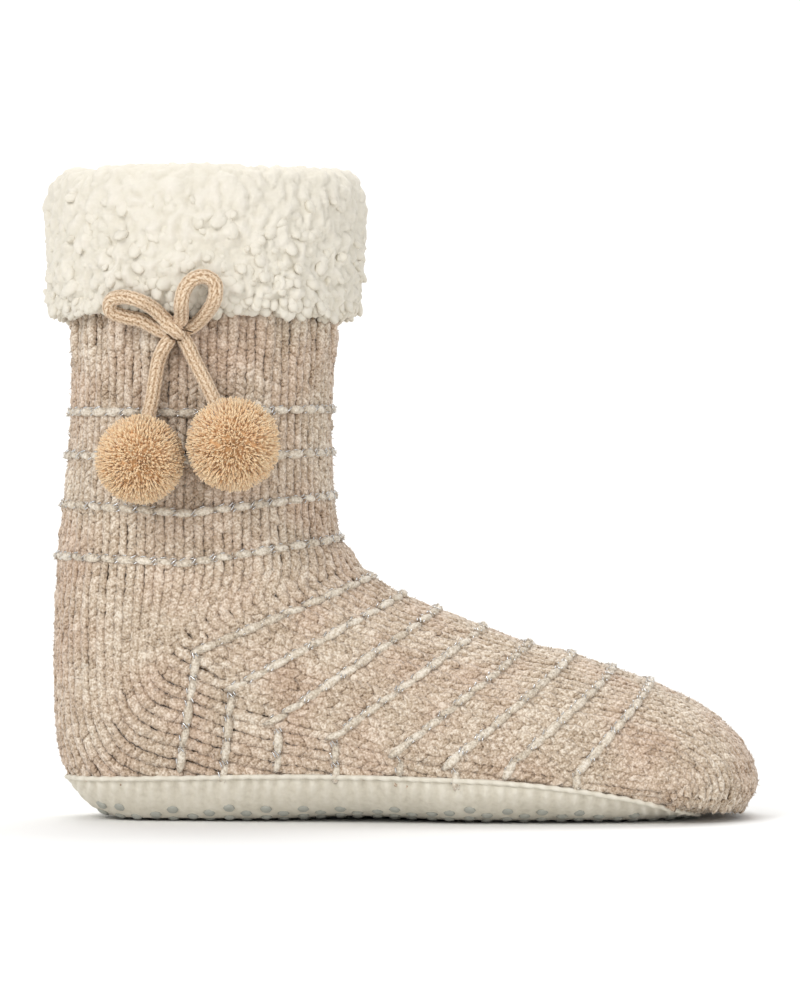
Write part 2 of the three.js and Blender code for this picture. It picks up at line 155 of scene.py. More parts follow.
# %% The foot's courses, as shares of the foot
FOOT_ROWS = [
    (4.15, 0.028, 0.964, 0.19, 0.837, 0.0, 0.694, 0.762, 0.762, 0.0, 2.1, 2.4),
    (4.3, 0.038, 0.94, 0.192, 0.776, 0.0, 0.459, 0.765, 0.765, 0.0, 2.1, 2.5),
    (4.45, 0.048, 0.918, 0.194, 0.735, 0.009, 0.224, 0.768, 0.768, 0.0, 2.1, 2.6),
    (4.6, 0.057, 0.898, 0.197, 0.7, 0.047, 0.066, 0.77, 0.77, 0.0, 2.1, 2.8),
    (4.8, 0.071, 0.88, 0.203, 0.66, 0.114, 0.004, 0.772, 0.772, 0.0, 2.1, 3.1),
    (5, 0.085, 0.863, 0.208, 0.61, 0.171, 0.0, 0.775, 0.775, 0.0, 2.1, 3.2),
    (6, 0.158, 0.798, 0.257, 0.48, 0.237, 0.0, 0.8, 0.785, 0.0, 2.15, 3.2),
    (7, 0.24, 0.745, 0.322, 0.38, 0.318, 0.008, 0.835, 0.795, 0.0, 2.2, 3.1),
    (8, 0.348, 0.682, 0.4, 0.315, 0.404, 0.022, 0.885, 0.82, 0.0, 2.2, 3.0),
    (9, 0.457, 0.622, 0.49, 0.27, 0.494, 0.018, 0.94, 0.885, 0.0, 2.2, 3.0),
    (10, 0.56, 0.585, 0.567, 0.24, 0.571, 0.002, 0.985, 0.945, 0.01, 2.25, 3.0),
    (11, 0.656, 0.535, 0.645, 0.217, 0.649, 0.0, 1.0, 0.99, 0.03, 2.3, 3.0),
    (12, 0.745, 0.487, 0.735, 0.186, 0.739, 0.0, 0.98, 1.01, 0.06, 2.35, 2.9),
    (12.6, 0.841, 0.422, 0.804, 0.165, 0.804, 0.0, 0.94, 0.99, 0.09, 2.4, 2.8),
    (13.1, 0.928, 0.332, 0.841, 0.155, 0.841, 0.003, 0.91, 0.965, 0.12, 2.4, 2.7),
    (13.5, 0.984, 0.225, 0.853, 0.143, 0.857, 0.005, 0.89, 0.945, 0.14, 2.4, 2.6),
    (13.8, 1.0, 0.125, 0.857, 0.122, 0.869, 0.009, 0.87, 0.925, 0.15, 2.4, 2.5),
    (14.1, 0.972, 0.045, 0.861, 0.094, 0.882, 0.014, 0.84, 0.895, 0.14, 2.4, 2.4),
]
foot_sections = []
for course, front, front_z, side, side_z, back, back_z, outer, inner, swing, over, under in FOOT_ROWS:
    lines = [SHAFT_FRONT + (FOOT_LENGTH - SHAFT_FRONT) * front, INSTEP_HEIGHT * front_z]
    lines += [FOOT_LENGTH * side, INSTEP_HEIGHT * side_z, FOOT_LENGTH * back, INSTEP_HEIGHT * back_z]
    widths = [BALL_WIDTH / 2 * share for share in (outer, inner, swing)]
    foot_sections.append([course, *lines, *widths, over, under])
SECTIONS = {name: column for name, column in zip(SECTION, np.array(leg_sections + foot_sections).T)}
print("foot courses:", len(foot_sections))


# %% A smooth curve through a table
def smooth(rows, key, at, name):
    """A cubic through the rows of a table, with the slope of the two neighbours at each row."""
    x, y = rows[key], rows[name]
    place = np.arange(len(x))
    before, after = np.maximum(place - 1, 0), np.minimum(place + 1, len(x) - 1)
    slope = (y[after] - y[before]) / (x[after] - x[before])
    t = np.clip(at, x[0], x[-1])
    i = np.clip(np.searchsorted(x, t) - 1, 0, len(x) - 2)
    span = x[i + 1] - x[i]
    u = (t - x[i]) / span
    ease = u * u * (3 - 2 * u)
    bend = u * (1 - u) ** 2 * span * slope[i] + u * u * (u - 1) * span * slope[i + 1]
    return y[i] * (1 - ease) + y[i + 1] * ease + bend


def on_form(course, angle):
    """Points of the form. The angle starts at the outer side and turns by the front."""
    course, angle = np.broadcast_arrays(np.asarray(course, float), np.asarray(angle, float))
    at = {name: smooth(SECTIONS, "course", course, name) for name in SECTION[1:]}
    sine, cosine = np.sin(angle), np.cos(angle)
    to_front = sine >= 0
    power = 2 / np.where(to_front, at["over"], at["under"])
    along, across = np.abs(sine) ** power, np.abs(cosine) ** power
    half = np.where(cosine >= 0, -at["outer"], at["inner"])
    x = at["side_x"] + (np.where(to_front, at["front_x"], at["back_x"]) - at["side_x"]) * along
    z = at["side_z"] + (np.where(to_front, at["front_z"], at["back_z"]) - at["side_z"]) * along
    return np.stack([x, at["swing"] * along + half * across, z + FORM_LIFT], -1)


def unit(vectors):
    """Vectors of length one."""
    return vectors / np.maximum(np.linalg.norm(vectors, axis=-1, keepdims=True), 1e-9)


def run_along(line):
    """How far along a line each of its points lies."""
    return np.concatenate([[0], np.cumsum(np.linalg.norm(np.diff(line, axis=0), axis=1))])


def read_off(line, run, at):
    """The points of a line at places along its run."""
    return np.stack([np.interp(at, run, line[:, k]) for k in range(3)], 1)


def form_frame(course, angle):
    """The way down a column of stitches and the way out of the form, at each point."""
    down = on_form(course + 0.02, angle) - on_form(course - 0.02, angle)
    around = on_form(course, angle + 0.01) - on_form(course, angle - 0.01)
    out = unit(np.cross(down, around))
    return unit(down), out


def off_form(course, angle, offset):
    """Points of the form moved out of it by an offset, or into it by a negative one."""
    return on_form(course, angle) + form_frame(course, angle)[1] * np.asarray(offset, float)[..., None]


print("toe tip:", on_form(13.8, math.pi / 2).round(1))

# %% [markdown]
# ## Meshes from numbers
# Blender makes a mesh from a list of points and a list of faces. A few small helpers cover every
# surface here: the faces of a grid, numbers kept at the points, a mesh object from points in
# millimetres, and soft lumps from Blender's own noise, which gives the same lumps on every run.


# %% Grids, objects and lumps
def grid_faces(rows, columns, wrap_rows=False, wrap_columns=True):
    """Quads that join each row of points to the next."""
    row = np.arange(rows if wrap_rows else rows - 1)[:, None]
    column = np.arange(columns if wrap_columns else columns - 1)[None, :]
    next_row, next_column = (row + 1) % rows, (column + 1) % columns
    corners = [row * columns + column, next_row * columns + column]
    corners += [next_row * columns + next_column, row * columns + next_column]
    return np.stack(np.broadcast_arrays(*corners), -1).reshape(-1, 4).tolist()


def face_outwards(mesh):
    """Turns the faces of closed shells outwards."""
    work = bmesh.new()
    work.from_mesh(mesh)
    bmesh.ops.recalc_face_normals(work, faces=work.faces)
    work.to_mesh(mesh)
    work.free()


def mark(mesh, name, values):
    """Gives each point of a mesh a number or a vector under a name."""
    values = np.float32(values)
    kind, key = ("FLOAT", "value") if values.ndim < 2 else ("FLOAT_VECTOR", "vector")
    mesh.attributes.new(name, kind, "POINT").data.foreach_set(key, values.ravel())


def mesh_object(name, points, faces, shade=None):
    """A smooth mesh object at the origin, with its points given in millimetres."""
    mesh = bpy.data.meshes.new(name)
    mesh.from_pydata(metres(points).tolist(), [], faces)
    if shade is not None:
        mark(mesh, "shade", shade)
    if len(faces):
        face_outwards(mesh)
        mesh.shade_smooth()
    return in_scene(name, mesh)


def lumps(points, size, shift):
    """Soft lumps of a size in millimetres, from -1 to 1, at each point."""
    places = np.asarray(points).reshape(-1, 3) / size + shift
    values = [noise.noise(Vector(place)) for place in places.tolist()]
    return np.array(values).reshape(np.shape(points)[:-1])


def wear(piece, slot, finish, *nodes):
    """Gives a piece its finish and body, and lets it stand for the solids that it replaces."""
    piece.data.materials.clear()
    piece.data.materials.append(finish)
    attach(piece, "root")
    if nodes:
        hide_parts(*nodes)
    print(piece.name, "has", sum(len(face.vertices) - 2 for face in piece.data.polygons), "triangles")


# %% [markdown]
# ## Finishes
# Everything on this sock is yarn, pile or cloth, so its finishes differ in colour, in the size of
# their fuzz and in how much light their fibres catch at the edge, which is what sheen draws. Each is
# built by one recipe: painted shade as dark colour in the hollows, light colour on the crowns, patches
# where the dye took differently, and a fine bump for the fibres. An attribute named shade, from 0 in a
# hollow to 1 on a crown, paints that shade into the colour of every piece. One named tone makes a
# whole stitch or tuft paler or darker: at random, and as painted shade on the ribbing's columns that
# lie back and on tufts in the creases between the cuff's clumps.


# %% Colours and nodes
def linear(hex_colour):
    """An sRGB hex colour as the linear numbers that Blender's shaders take."""
    parts = [int(hex_colour[i : i + 2], 16) / 255 for i in (1, 3, 5)]
    return [p / 12.92 if p <= 0.04045 else ((p + 0.055) / 1.055) ** 2.4 for p in parts] + [1.0]


def add_node(tree, kind, settings=None, inputs=None):
    """Adds a node. An input is a value, or an output of another node to link to."""
    node = tree.nodes.new(kind)
    for name, value in (settings or {}).items():
        setattr(node, name, value)
    for name, value in (inputs or {}).items():
        if isinstance(value, bpy.types.NodeSocket):
            tree.links.new(value, node.inputs[name])
        else:
            node.inputs[name].default_value = value
    return node


def arithmetic(tree, operation, *values):
    """The result of a Math node."""
    return add_node(tree, "ShaderNodeMath", {"operation": operation}, dict(enumerate(values))).outputs[0]


def bumpy_skin(tree, output, skin, height, distance, strength=1.0):
    """A Principled surface with a bump, linked to the material's output."""
    heights = {"Height": height, "Distance": distance, "Strength": strength}
    bump = add_node(tree, "ShaderNodeBump", None, heights)
    surface = add_node(tree, "ShaderNodeBsdfPrincipled", None, {**skin, "Normal": bump.outputs[0]})
    tree.links.new(surface.outputs[0], output.inputs["Surface"])


def new_material(name):
    """A material with an empty tree and its output node."""
    material = bpy.data.materials.new(name)
    material.use_nodes = True
    material.node_tree.nodes.clear()
    return material, material.node_tree, add_node(material.node_tree, "ShaderNodeOutputMaterial")


def noise_at(tree, size, detail=2.0, where=None):
    """Noise whose blotches have a size in millimetres, in Object coordinates."""
    where = where or add_node(tree, "ShaderNodeTexCoord").outputs["Object"]
    scale = 1 / (size * MM)
    return add_node(tree, "ShaderNodeTexNoise", None, {"Vector": where, "Scale": scale, "Detail": detail})


# %% The recipe for yarn, pile and cloth
PATCH = 24


def fibre_finish(name, colours, fleck, fuzz, depth, mottle=1.0, roughness=0.9, sheen=0.3, patch=""):
    """Colours run from the painted shade of a hollow to a crown. Fleck, fuzz and depth are sizes in
    millimetres.

    Real fuzz is finer than a pixel here, so it is drawn about a millimetre wide to show at all.
    """
    material, tree, output = new_material(name)
    marks = [add_node(tree, "ShaderNodeAttribute", {"attribute_name": key}) for key in ("shade", "tone")]
    shade = arithmetic(tree, "ADD", *[mark_node.outputs["Fac"] for mark_node in marks])
    flecks = noise_at(tree, fleck, 3.0).outputs["Fac"]
    spread = arithmetic(tree, "MULTIPLY_ADD", flecks, mottle, -mottle / 2)
    # The ramp's dark end paints shade into the hollows; the flecks spread the yarn's own random tone over it.
    ramp = add_node(tree, "ShaderNodeValToRGB", None, {"Fac": arithmetic(tree, "ADD", shade, spread)})
    stops = ramp.color_ramp.elements
    while len(stops) < len(colours):
        stops.new(0.5)
    for i, colour in enumerate(colours):
        stops[i].position = i / (len(colours) - 1)
        stops[i].color = linear(colour)
    colour = ramp.outputs["Color"]
    if patch:
        reach = {"Value": noise_at(tree, PATCH, 1.0).outputs["Fac"], "From Min": 0.4, "From Max": 0.7}
        wide = add_node(tree, "ShaderNodeMapRange", None, reach)
        tint = {"Factor": wide.outputs[0], 6: colour, 7: linear(patch)}
        tinted = add_node(tree, "ShaderNodeMix", {"data_type": "RGBA", "blend_type": "MULTIPLY"}, tint)
        colour = tinted.outputs[2]
    fine = noise_at(tree, fuzz, 4.0).outputs["Fac"]
    skin = {"Base Color": colour, "Roughness": roughness, "Specular IOR Level": 0.2}
    skin.update({"Sheen Weight": sheen, "Sheen Roughness": 0.45})
    bumpy_skin(tree, output, skin, fine, depth * MM, 0.9)
    return material


# %% [markdown]
# The finishes by their real names. Chenille is a soft velvety yarn; the dark between its stitches is
# painted shade. The ground under the stitches is the same yarn, painted darker as its shade. The purl
# bumps are paler. The pile is pale polyester, and the painted shade in its hollows stays warm and light.

# %% Every fibre finish on the sock
# Each list runs from painted shade in the hollows to the crown's own colour, as do the lists written inline
# below.
yarn_colours_and_shade = ["#4C3D2D", "#8F7B65", "#B6A38D", "#CBBAA6", "#E6DBCB"]
purl_colours_and_shade = ["#8E7D69", "#B9AA96", "#D1C5B3", "#E6DDCF"]
sole_colours_and_shade = ["#B3AB9A", "#D3CCBC", "#E3DDD0"]
chenille = fibre_finish("chenille_yarn", yarn_colours_and_shade, 0.75, 0.9, 0.5, 1.85, sheen=0.4, patch="#F8EFEC")
# The ground's two colours are the yarn painted darker, as the shade behind the stitches.
chenille_ground = fibre_finish("chenille_in_shadow", ["#67543F", "#8C765C"], 1.5, 1.0, 0.3, sheen=0.0)
chenille_purl = fibre_finish("chenille_purl_bump", purl_colours_and_shade, 0.75, 0.9, 0.5, 2.0, sheen=0.4)
pile = fibre_finish("polyester_pile", ["#CFC8B8", "#D8D2C4", "#DED8CC"], 2.5, 1.4, 0.3, 0.8, 0.95, 0.15)
cord_yarn = fibre_finish("knitted_cord", ["#866848", "#CCB092", "#E8D7BF"], 0.8, 0.8, 0.3, 1.3, 0.9, 0.25)
pompom_yarn = fibre_finish("cut_yarn", ["#BF9364", "#E4B98A", "#F5DBB4"], 1.0, 0.8, 0.15, 1.2, 0.9, 0.6)
sole_cloth = fibre_finish("brushed_sole_cloth", sole_colours_and_shade, 2.2, 1.0, 0.2, 0.8, 0.85, 0.15)
thread = fibre_finish("sewing_thread", ["#523E2B", "#755C42"], 0.5, 0.4, 0.05, 1.0, 0.7, 0.0)
print("finishes:", len(bpy.data.materials))

# %% [markdown]
# The two finishes that aren't fibre. Lurex is a strip of film with a thin coat of aluminium, so it is
# a metal with a fairly smooth face. The grip dots are soft PVC printed on the cloth, matt and grey.


# %% Lurex and printed dots
def plain_finish(name, colour, speck, depth, **skin_values):
    """A finish with a slight change of tone and a fine bump, both at the size of a speck."""
    material, tree, output = new_material(name)
    specks = noise_at(tree, speck, 3.0).outputs["Fac"]
    ramp = add_node(tree, "ShaderNodeValToRGB", None, {"Fac": specks})
    for stop, tone in zip(ramp.color_ramp.elements, (0.82, 1.0)):
        stop.color = [part * tone for part in linear(colour)[:3]] + [1.0]
    bumpy_skin(tree, output, {"Base Color": ramp.outputs["Color"], **skin_values}, specks, depth * MM)
    return material


lurex = plain_finish("lurex_film", "#E9EAEC", 0.8, 0.1, Metallic=1.0, Roughness=0.22)
grip_pvc = plain_finish("printed_pvc", "#A9A9A0", 1.5, 0.08, Roughness=0.6)

# %% [markdown]
# ## The bow's cords
# The bow is tied from one round knitted cord, held by a small sewn gather. Each loop leaves the gather
# and comes back to it. Each tail ends in a pompom. The routes are the CAD model's own points, given
# from the knot's middle, and a smooth curve runs through them.


# %% Places beside the leg
def course_at(height):
    """The course of the leg whose front line is at a height."""
    legs = np.array(leg_sections)
    return np.interp(-np.asarray(height, float), -legs[:, 2], legs[:, 0])


def from_knot(dx, dz, out):
    """A point near the knot: along X, up, and out from the knit's outer face."""
    x, z = KNOT_X + dx, KNOT_HEIGHT + dz
    at = {name: float(smooth(SECTIONS, "course", course_at(z), name)) for name in SECTION[1:]}
    reach = at["front_x"] - at["side_x"] if x > at["side_x"] else at["side_x"] - at["back_x"]
    share = min(abs(x - at["side_x"]) / reach, 1)
    return np.array([x, -at["outer"] * (1 - share ** at["over"]) ** (1 / at["over"]) - out, z])


CORD = 5.0
KNOT_X, KNOT_HEIGHT = SHAFT_SET + SHAFT_DEPTH * 0.41, HEM_HEIGHT - 9
OVER_CUFF = CUFF_THICKNESS + CORD / 2 + 2.2
print("the knot's middle:", from_knot(0, 0, 0).round(1))

# %% The routes of loops and tails
ROUTES = {
    "bow_loop_back": [
        (-1.5, 2, 6.2), (-4.6, 5, 7.6), (-8.6, 8.6, 10.6), (-13, 10.8, OVER_CUFF),
        (-18.4, 12, OVER_CUFF), (-22.4, 10.8, OVER_CUFF), (-22.6, 7.4, OVER_CUFF - 1.6),
        (-18.6, 5.6, 9.6), (-12.4, 4.2, 6.6), (-5, 0.5, 4.2), (-1, 0, 4.2),
    ],
    "bow_loop_front": [
        (1, 2, 6.6), (1.6, 5.6, 8.4), (1.9, 10, OVER_CUFF), (3, 14.2, OVER_CUFF + 0.4),
        (5.8, 17.6, OVER_CUFF + 0.4), (9.8, 18.6, OVER_CUFF + 0.4), (13.2, 16.4, OVER_CUFF + 0.4),
        (13.4, 12, OVER_CUFF), (11.4, 8, 10.4), (6.2, 2.8, 4.6), (2, 0.6, 4.2),
    ],
    "bow_tail_back": [
        (-1.5, -1, 5.4), (-4.4, -4.9, 5.4), (-6.4, -9.4, 4.2), (-7.6, -16, 4.4),
        (-8.6, -23, 6), (-9.8, -28.6, 9.2), (-10.6, -33, 12), (-11.4, -38, 14.6),
    ],
    "bow_tail_front": [
        (1, -0.5, 5.2), (3.2, -3.8, 5), (5.8, -9.4, 5), (9, -15.6, 7), (12.4, -22.4, 11),
        (15.4, -28.4, 15.4), (17.4, -33, 18),
    ],
}


def through(points, step):
    """A smooth curve through points, given back as points a step apart."""
    points = np.array(points, float)
    points = np.vstack([2 * points[0] - points[1], points, 2 * points[-1] - points[-2]])
    share = np.linspace(0, 1, 24, endpoint=False)[:, None]
    dense = []
    for a, b, c, d in zip(points, points[1:], points[2:], points[3:]):
        gaps = [math.sqrt(np.linalg.norm(q - p)) for p, q in ((a, b), (b, c), (c, d))]
        leave = (b - a) / gaps[0] - (c - a) / (gaps[0] + gaps[1]) + (c - b) / gaps[1]
        arrive = (c - b) / gaps[1] - (d - b) / (gaps[1] + gaps[2]) + (d - c) / gaps[2]
        leave, arrive = leave * gaps[1], arrive * gaps[1]
        cubic = (2 * b - 2 * c + leave + arrive) * share**3
        dense.append(b + leave * share + (3 * (c - b) - 2 * leave - arrive) * share**2 + cubic)
    dense = np.vstack([*dense, points[-2]])
    return spaced(dense, step)


def spaced(line, step):
    """A line of points again, with its points evenly a step apart."""
    run = run_along(line)
    return read_off(line, run, np.linspace(0, run[-1], max(int(run[-1] / step), 2) + 1))


# %% [markdown]
# A cord knitted in the round shows small V stitches on all sides. A tube whose radius rises and falls
# as the V's do draws them in real relief, which a flat picture of stitches would lose at the edge.


# %% A tube with knitted V stitches
def turning_frames(line):
    """Two level directions across a line at each point, turned as little as possible along it."""
    ways = unit(np.gradient(line, axis=0))
    side = unit(np.cross(ways[0], (0.3, 0.8, 0.5)))
    sides = []
    for way in ways:
        side = unit(side - way * np.dot(side, way))
        sides.append(side)
    return np.array(sides), np.cross(ways, sides)


def tube(line, radius_at, around):
    """Points and faces of a closed tube. The radius depends on the turn and the run along it."""
    sides, ups = turning_frames(line)
    run = run_along(line)[:, None]
    turn = np.linspace(0, 1, around, endpoint=False)[None, :]
    radius, shade = radius_at(turn, run, run[-1])
    radius = np.broadcast_to(radius, (len(line), around))[..., None]
    angle = 2 * math.pi * turn[..., None]
    points = line[:, None] + radius * (np.cos(angle) * sides[:, None] + np.sin(angle) * ups[:, None])
    faces = grid_faces(len(line), around)
    faces += [list(range(around)), list(range((len(line) - 1) * around, len(line) * around))]
    return points.reshape(-1, 3), faces, np.broadcast_to(shade, (len(line), around)).reshape(-1)


def knitted_cord(turn, run, length):
    """Four columns of V stitches round the cord, a stitch every 2.2 mm, with rounded ends, and a shade that
    paints the hollows between the V's darker.
    """
    columns, pitch, slant = 4, 2.2, 1.5
    across = turn * columns % 1
    leg = across * 2 % 1
    beat = (run / pitch + slant * np.abs(2 * across - 1)) % 1
    crown = np.sqrt(1 - (2 * leg - 1) ** 2 * 0.8) * np.sqrt(1 - (2 * beat - 1) ** 2 * 0.97)
    end = np.clip(np.minimum(run, length - run) / (CORD / 2), 0.02, 1)
    # Painted shade: the colour is darker in the hollows between the V's and light on their crowns.
    return CORD / 2 * (0.8 + 0.26 * crown) * np.sqrt(1 - (1 - end) ** 2), 1.1 * crown - 0.15


# %% Loops and tails
CORD_STEP, CORD_AROUND = 0.3, 32
cord_lines = {}
cords = {}
for name, route in ROUTES.items():
    cord_lines[name] = through([from_knot(*place) for place in route], CORD_STEP)
    points, faces, shade = tube(cord_lines[name], knitted_cord, CORD_AROUND)
    cords[name] = mesh_object(name + "_cord", points, faces, shade)
    wear(cords[name], "cord", cord_yarn, name)

# %% [markdown]
# The gather is the middle of the cord, squeezed by a few dark stitches of sewing thread. A short
# piece of the same cord lies over the place where loops and tails meet.

# %% The sewn gather
gather_line = through([from_knot(*p) for p in ((-5.2, 3.4, 6.6), (-1, 1, 8.2), (2.2, -1.8, 6))], CORD_STEP)
gather = mesh_object("bow_gather", *tube(gather_line, knitted_cord, CORD_AROUND))
wear(gather, "cord", cord_yarn, "bow_knot")
THREAD_ENDS = [
    ((-2.2, -2.2, 8.6), (1.6, -2.9, 8.4)),
    ((2, 0.9, 9.6), (5.6, 0, 8.2)),
    ((-3.4, -0.6, 8.6), (-1.6, -2, 8.8)),
]
THREAD_RADIUS = 0.26
stitch_points, stitch_faces = [], []
for ends in THREAD_ENDS:
    line = through([from_knot(*end) for end in ends], 0.4)
    points, faces = tube(line, lambda turn, run, length: (THREAD_RADIUS, 0.5), 6)[:2]
    stitch_faces += [[i + len(stitch_points) for i in face] for face in faces]
    stitch_points += points.tolist()
sewing = mesh_object("bow_sewing", stitch_points, stitch_faces)
wear(sewing, "cord", thread)

# %% [markdown]
# ## One tree for everything that repeats
# Stitches, fuzz, purl bumps, glints, tufts, pompom strands and grip dots repeat by the hundred. In
# Geometry Nodes one tree can set a small shape on every point of a cloud, turned and sized by what
# the point says, with a little chance in both. The points come from the sock's form, so each stitch
# lies where the knitting puts it. The result is realized and kept as a plain mesh.


# %% The tree that sets shapes on points
def sowing_tree():
    """Inputs: the points, the shape, its finish, and how much size and turn vary."""
    tree = bpy.data.node_groups.new("sow shapes on points", "GeometryNodeTree")
    kinds = {"Points": "Geometry", "Shape": "Object", "Finish": "Material"}
    kinds.update({"Size varies by": "Float", "Turn varies by": "Float", "Seed": "Int"})
    for name, kind in kinds.items():
        tree.interface.new_socket(name, in_out="INPUT", socket_type="NodeSocket" + kind)
    tree.interface.new_socket("Sown", in_out="OUTPUT", socket_type="NodeSocketGeometry")
    given = add_node(tree, "NodeGroupInput").outputs
    vector, number = {"data_type": "FLOAT_VECTOR"}, {"data_type": "FLOAT"}
    turn = add_node(tree, "GeometryNodeInputNamedAttribute", vector, {"Name": "turn"})
    size = add_node(tree, "GeometryNodeInputNamedAttribute", vector, {"Name": "size"})
    least, most = [arithmetic(tree, way, 1.0, given["Size varies by"]) for way in ("SUBTRACT", "ADD")]
    chance = {2: least, 3: most, "Seed": given["Seed"]}
    grow = add_node(tree, "FunctionNodeRandomValue", number, chance)
    scale = {0: size.outputs[0], "Scale": grow.outputs[1]}
    scaled = add_node(tree, "ShaderNodeVectorMath", {"operation": "SCALE"}, scale)
    facing = add_node(tree, "FunctionNodeEulerToRotation", None, {"Euler": turn.outputs[0]})
    low = arithmetic(tree, "MULTIPLY", given["Turn varies by"], -1.0)
    sway = {2: low, 3: given["Turn varies by"], "Seed": given["Seed"]}
    tilt = add_node(tree, "FunctionNodeRandomValue", number, sway).outputs[1]
    about = add_node(tree, "ShaderNodeCombineXYZ", None, {"Z": tilt, "X": tilt})
    nudge = add_node(tree, "FunctionNodeEulerToRotation", None, {"Euler": about.outputs[0]})
    turns = {0: facing.outputs[0], 1: nudge.outputs[0]}
    turned = add_node(tree, "FunctionNodeRotateRotation", {"rotation_space": "LOCAL"}, turns)
    shape = add_node(tree, "GeometryNodeObjectInfo", None, {"Object": given["Shape"]})
    sow = {"Points": given["Points"], "Instance": shape.outputs["Geometry"]}
    sow.update({"Rotation": turned.outputs[0], "Scale": scaled.outputs[0]})
    sown = add_node(tree, "GeometryNodeInstanceOnPoints", None, sow)
    real = add_node(tree, "GeometryNodeRealizeInstances", None, {"Geometry": sown.outputs[0]})
    finish = {"Geometry": real.outputs[0], "Material": given["Finish"]}
    finished = add_node(tree, "GeometryNodeSetMaterial", None, finish)
    add_node(tree, "NodeGroupOutput", None, {"Sown": finished.outputs[0]})
    return tree


SOWING = sowing_tree()
print("the tree has", len(SOWING.nodes), "nodes")


# %% Sowing a shape, and keeping the mesh
def euler_of(x_way, y_way, z_way):
    """The XYZ turn of frames whose axes are the columns given."""
    tilt_y = -np.arcsin(np.clip(x_way[:, 2], -1, 1))
    return np.stack([np.arctan2(y_way[:, 2], z_way[:, 2]), tilt_y, np.arctan2(x_way[:, 1], x_way[:, 0])], 1)


def sow(name, shape, finish, places, ways, sizes, tones, vary_size=0.1, vary_turn=0.0, seed=1):
    """A mesh of shapes on places in millimetres. Ways are the shape's three axes at each place."""
    cloud = mesh_object(name + "_points", places, [])
    for key, values in (("tone", tones), ("turn", euler_of(*ways)), ("size", np.asarray(sizes) * MM)):
        mark(cloud.data, key, values)
    sower = cloud.modifiers.new("sow", "NODES")
    sower.node_group = SOWING
    sockets = {item.name: item.identifier for item in SOWING.interface.items_tree if item.in_out == "INPUT"}
    given = {"Shape": shape, "Finish": finish, "Seed": seed}
    given.update({"Size varies by": vary_size, "Turn varies by": vary_turn})
    for key, value in given.items():
        sower[sockets[key]] = value
    bpy.context.view_layer.update()
    mesh = bpy.data.meshes.new_from_object(cloud.evaluated_get(bpy.context.evaluated_depsgraph_get()))
    mesh.name = name
    mesh.shade_smooth()
    bpy.data.objects.remove(cloud)
    return in_scene(name, mesh)


def small_shape(name, points, faces, shade):
    """A shape of unit size to sow, which is in no collection and so isn't in the picture."""
    mesh = bpy.data.meshes.new(name)
    mesh.from_pydata(np.asarray(points, float).tolist(), [], faces)
    mark(mesh, "shade", shade)
    face_outwards(mesh)
    return bpy.data.objects.new(name, mesh)


def bead(name, around, rings, pinch=0.0):
    """A closed bead of radius 1, pinched towards +Y as a leg of a stitch is towards its V. Its shade is
    painted darker towards -Z, as the shade under it.
    """
    rise = np.linspace(0, math.pi, rings + 1)[1:-1]
    turn = np.linspace(0, 2 * math.pi, around, endpoint=False)
    y = -np.cos(rise)[:, None] + 0 * turn
    wide = np.sin(rise)[:, None] * (1 - pinch * y)
    ring = np.stack([wide * np.cos(turn), y, wide * np.sin(turn)], -1).reshape(-1, 3)
    points = np.vstack([ring, (0, -1, 0), (0, 1, 0)])
    faces = grid_faces(len(rise), around)
    last = (len(rise) - 1) * around
    for i in range(around):
        j = (i + 1) % around
        faces += [[i, j, len(ring)], [last + j, last + i, len(ring) + 1]]
    # Painted shade: light on the +Z crown, dark towards -Z.
    return small_shape(name, points, faces, np.clip(0.4 + 0.4 * points[:, 2], 0, 1))


# %% [markdown]
# ## The knit
# Stockinette is columns of V's. On a chenille sock this thick, each V is two plump legs that lean
# towards each other, about 3.3 mm wide, with grooves between them that fall in shade, and the colour
# paints that shade in as well. Drawn as bump it would look printed at this size, so every leg is a
# real bead of yarn on a ground painted darker as shade.
# There are 40 columns round the sock. Each runs from the cuff down the leg, turns at the heel as
# short rows do, and goes on along the foot to the toe, with a row about every 2.6 mm.

# %% Where the columns of stitches run
WALES, ROWS_A_RIDGE, ROW = 40, 6, 2.6
FIRST_COURSE, LAST_COURSE = -3.8, 14.1
FINE_COURSES = np.linspace(FIRST_COURSE, LAST_COURSE, 900)
HALF_TURN = 200
STEEPEST_TURN = -0.72


def column_angles():
    """For each fine course, the angles that share each half of the round equally by length."""
    angles = []
    for start, way in ((math.pi / 2, -1), (math.pi / 2, 1)):
        turn = start + way * np.linspace(0, math.pi, HALF_TURN)
        points = on_form(FINE_COURSES[:, None], turn[None, :])
        run = np.cumsum(np.linalg.norm(np.diff(points, axis=1), axis=2), axis=1)
        run = np.hstack([np.zeros((len(run), 1)), run])
        shares = (np.arange(WALES) + 0.5) / WALES
        angles.append([np.interp(shares * r[-1], r, turn) for r in run])
    return np.array(angles)


LEG_ANGLES = column_angles()
print("legs of stitches round the sock:", 2 * LEG_ANGLES.shape[2])


